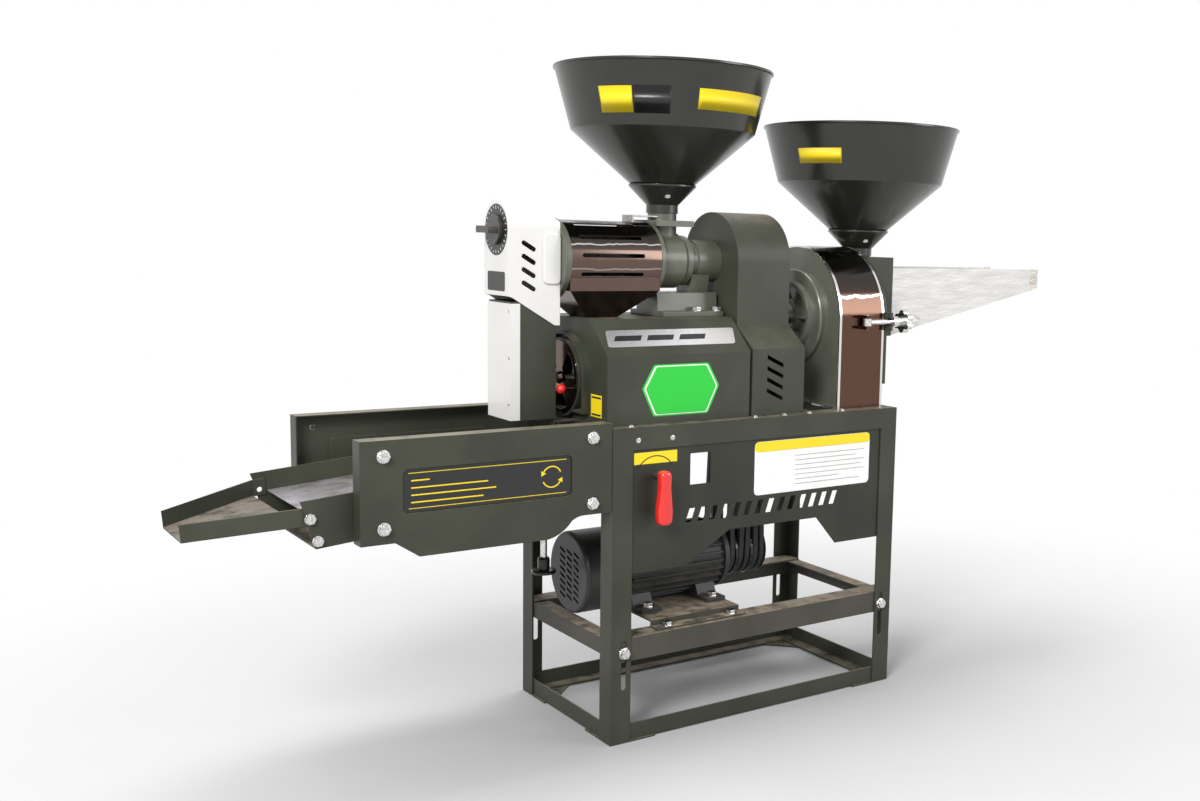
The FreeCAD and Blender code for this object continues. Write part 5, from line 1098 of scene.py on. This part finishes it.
@dataclass
class Pedestal:
    """Folded box under the mill's bearing housing, on flanges that the frame's bolts hold."""

    left: float = -0.158
    right: float = -0.024
    half: float = 0.038
    reach: float = 0.060
    wall: float = 0.010
    rise: float = 0.044

    def build(self) -> None:
        """Fold the box over its flanges, and let it stand for the plain pedestal."""
        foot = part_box("mill_pedestal")[0][2]
        outline = np.array([(-self.reach, 0.0), (self.reach, 0.0), (self.reach, self.wall),
                            (self.half, self.wall), (self.half - 0.003, self.rise),
                            (-self.half + 0.003, self.rise), (-self.half, self.wall),
                            (-self.reach, self.wall)])
        where = plane((self.left, 0.0, foot), (0, 1, 0))
        folded = soften(slab("folded_pedestal", outline, where, self.right - self.left), 0.0015)
        saddle = np.array([(-0.022, self.rise - MM), (0.022, self.rise - MM), (0.030, 0.078),
                           (-0.030, 0.078)])
        rest = plane((-0.078, 0.0, foot), (0, 1, 0))
        carve(folded, slab("saddle", saddle, rest, 0.040), "UNION")
        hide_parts("mill_pedestal")
        dress(folded, CASTING, "frame")


@dataclass
class SmallBolts:
    """Small zinc hexagon heads on washers, where sheets and collars are screwed down.

    A head is a profile carried round its axis: the washer and the neck are round, and the head's
    radius follows a hexagon, which is the cosine of 30 degrees over the cosine of the angle from
    the nearest flat.
    """

    radius: float = 0.0052
    height: float = 0.0036

    def head(self, place: RGB, normal: RGB) -> bpy.types.Object:
        """Make one head with its washer.

        Args:
            place: the point under its middle.
            normal: the way that it stands out.

        Returns:
            The closed piece.
        """
        angle = np.linspace(0.0, 2.0 * math.pi, 24, endpoint=False)
        flat = math.cos(math.pi / 6) / np.cos((angle % (math.pi / 3)) - math.pi / 6)
        ring = np.ones_like(angle)
        profile = ((ring * 1.35, -0.0005), (ring * 1.35, 0.0006), (ring * 1.25, 0.0008),
                   (flat, 0.0009), (flat, self.height - 0.0005), (flat * 0.88, self.height),
                   (ring * 0.05, self.height + 0.0003))
        up = Vector(normal).normalized()
        side = np.array(up.orthogonal().normalized())
        over = np.cross(np.array(up), side)
        rows = [np.array(place) + np.array(up) * rise
                + self.radius * share[:, None] * (np.cos(angle)[:, None] * side
                                                  + np.sin(angle)[:, None] * over)
                for share, rise in profile]
        faces = grid_faces(len(profile), len(angle))
        return close_ends(add_piece("head", np.vstack(rows), faces, smooth=False))

    def build(self) -> None:
        """Put the heads on the top rail, front rail, strip and collars."""
        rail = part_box("top_rails")
        front, top = rail[0][1], rail[1][2]
        spots = [((x, front + 0.0125, top), (0, 0, 1)) for x in (-0.283, -0.018, 0.050, 0.110, 0.191)]
        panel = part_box("front_panel")[0][1]
        spots += [((x, panel, 0.542), (0, -1, 0)) for x in (-0.2747, -0.2051)]
        self.lay("small_bolts", spots, "frame")
        left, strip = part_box("column_front")
        screws = [((left[0], left[1] + 0.007, z), (-1, 0, 0)) for z in (0.60, 0.68, 0.76)]
        SmallBolts(0.0022, 0.0015).lay("strip_screws", screws, "frame")
        for name, centre, level, body in (("mill_collar_bolt", -0.127, 0.970, "frame"),
                                          ("crusher_collar_bolt", 0.354, 0.898, "door")):
            out = Vector((-0.35, -1.0, 0.0)).normalized()
            spot = Vector((centre, 0.0, level)) + out * 0.0435
            self.lay(name, [(tuple(spot), tuple(out))], body)

    def lay(self, name: str, spots: list[tuple[RGB, RGB]], body: str) -> None:
        """Make one piece of the heads at some places.

        Args:
            name: the piece's name.
            spots: place and normal of each head.
            body: the body that carries them.
        """
        heads = [self.head(place, normal) for place, normal in spots]
        dress(join_pieces(name, heads), FINISHES["zinc"], body)


# ---- studio ----


@dataclass
class Studio:
    """Pale floor with a painted shadow round the machine, soft lights and the camera."""

    place: RGB = (-1.42018, -2.08171, 0.89697)
    yaw: float = 0.651
    pitch: float = -0.1252
    roll: float = 0.0266
    focal: float = 1293.723
    image_width: float = 1200.0
    centre_line: float = 781.76
    sensor: float = 36.0

    def camera(self) -> None:
        """Set the camera at the viewing place, level and lens."""
        data = bpy.data.cameras.new("camera")
        data.sensor_width = self.sensor
        data.lens = self.focal / self.image_width * self.sensor
        data.shift_x = 0.5 - self.centre_line / self.image_width
        data.clip_start, data.clip_end = 0.05, 60.0
        look = Vector((math.sin(self.yaw) * math.cos(self.pitch),
                       math.cos(self.yaw) * math.cos(self.pitch), math.sin(self.pitch)))
        right = look.cross(Vector((0, 0, 1))).normalized()
        up = right.cross(look)
        turned = math.cos(self.roll) * right + math.sin(self.roll) * up
        above = -math.sin(self.roll) * right + math.cos(self.roll) * up
        matrix = Matrix((turned, above, -look)).transposed().to_4x4()
        matrix.translation = Vector(self.place)
        camera = bpy.data.objects.new("camera", data)
        camera.matrix_world = matrix
        bpy.context.scene.collection.objects.link(camera)
        bpy.context.scene.camera = camera

    def floor(self) -> None:
        """Lay the pale floor, whose grey round the machine is painted shadow that fades into the white
        world.
        """
        edge = 5.0
        corners = np.array([(-edge, -edge, 0.0), (edge, -edge, 0.0), (edge, edge, 0.0),
                            (-edge, edge, 0.0)])
        piece = add_piece("floor", corners, [[0, 1, 2, 3]], smooth=False)
        g = Graph("floor_painted_shadow")
        # painted shadow: grey floor near the machine, faded out by distance through the alpha below
        tone = g.blend(g.noise(1.2, 3.0).between(0.3, 0.7), (0.46, 0.46, 0.465), (0.50, 0.50, 0.505))
        far = (g.along("X") ** 2.0 + (g.along("Y") * 1.2) ** 2.0) ** 0.5
        g.finish(Base_Color=tone, Roughness=0.9, Specular_IOR_Level=0.1,
                 Alpha=1.0 - far.between(0.25, 1.9))
        piece.data.materials.append(g.material)

    def lamp(self, name: str, place: RGB, aim: RGB, size: tuple[float, float], power: float) -> None:
        """Hang one soft lamp.

        Args:
            name: the lamp's name.
            place: where it hangs.
            aim: the point that it faces.
            size: its width and height.
            power: watts.
        """
        data = bpy.data.lights.new(name, "AREA")
        data.shape = "RECTANGLE"
        data.size, data.size_y = size
        data.energy = power
        piece = bpy.data.objects.new(name, data)
        way = Vector(aim) - Vector(place)
        matrix = way.to_track_quat("-Z", "Y").to_matrix().to_4x4()
        matrix.translation = Vector(place)
        piece.matrix_world = matrix
        bpy.context.scene.collection.objects.link(piece)

    def world(self) -> None:
        """Set a soft world that the camera sees as white."""
        world = bpy.data.worlds.new("studio")
        bpy.context.scene.world = world
        world.use_nodes = True
        tree = world.node_tree
        tree.nodes.clear()
        path = tree.nodes.new("ShaderNodeLightPath")
        total = path.outputs["Is Camera Ray"]
        for ray in ("Is Glossy Ray", "Is Transmission Ray"):
            either = tree.nodes.new("ShaderNodeMath")
            either.operation = "MAXIMUM"
            tree.links.new(total, either.inputs[0])
            tree.links.new(path.outputs[ray], either.inputs[1])
            total = either.outputs[0]
        strength = tree.nodes.new("ShaderNodeMapRange")
        strength.inputs["To Min"].default_value = 0.55
        strength.inputs["To Max"].default_value = 1.0
        tree.links.new(total, strength.inputs["Value"])
        light = tree.nodes.new("ShaderNodeBackground")
        light.inputs["Color"].default_value = (1.0, 1.0, 1.0, 1.0)
        tree.links.new(strength.outputs[0], light.inputs["Strength"])
        out = tree.nodes.new("ShaderNodeOutputWorld")
        tree.links.new(light.outputs[0], out.inputs["Surface"])

    def build(self) -> None:
        """Set up the whole studio."""
        bpy.context.scene.view_settings.view_transform = "Standard"
        self.camera()
        self.floor()
        self.world()
        middle = (-0.05, 0.0, 0.7)
        self.lamp("key", (-2.9, -2.2, 2.6), middle, (1.2, 1.2), 150.0)
        self.lamp("fill", (2.4, -2.9, 1.8), middle, (1.6, 1.6), 42.0)
        self.lamp("top", (0.0, 0.4, 3.4), middle, (2.4, 1.2), 95.0)


# ---- all together ----


def main() -> None:
    """Build the studio, then dress the frame and add the visual pieces."""
    logging.basicConfig(level=logging.INFO, format="%(message)s")
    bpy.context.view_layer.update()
    Studio().build()
    film = Film("tray_film", 0.806)
    Machine(special={"feed_tray": film, "crusher_shell": SHELL, "discharge_tray": CHUTE,
                     "front_panel": SHADED_PANEL, "mill_bearing_housing": CASTING, "mill_inlet": CASTING,
                     "mill_end_flange": CASTING, "crusher_side_casting": RIM}).dress()
    Plates().build()
    first = HopperPlates(-0.127, 1.084, 0.170, 1.196, 0.200, "frame")
    first.plate("hopper_plate_yellow", -69.0, -49.0, 1.104, 1.148, YELLOW)
    first.plate("hopper_plate_black", -48.6, -28.0, 1.103, 1.149, BLACK)
    first.plate("hopper_strip", -12.5, 38.0, 1.113, 1.148, YELLOW)
    second = HopperPlates(0.354, 1.012, 0.170, 1.124, 0.200, "door")
    second.plate("crusher_hopper_strip", -82.0, -52.0, 1.044, 1.073, YELLOW)
    Dial().build()
    HandLever().build()
    HeadCover().build()
    Pedestal().build()
    SmallBolts().build()
    bpy.context.view_layer.update()


if __name__ == "__main__":
    main()
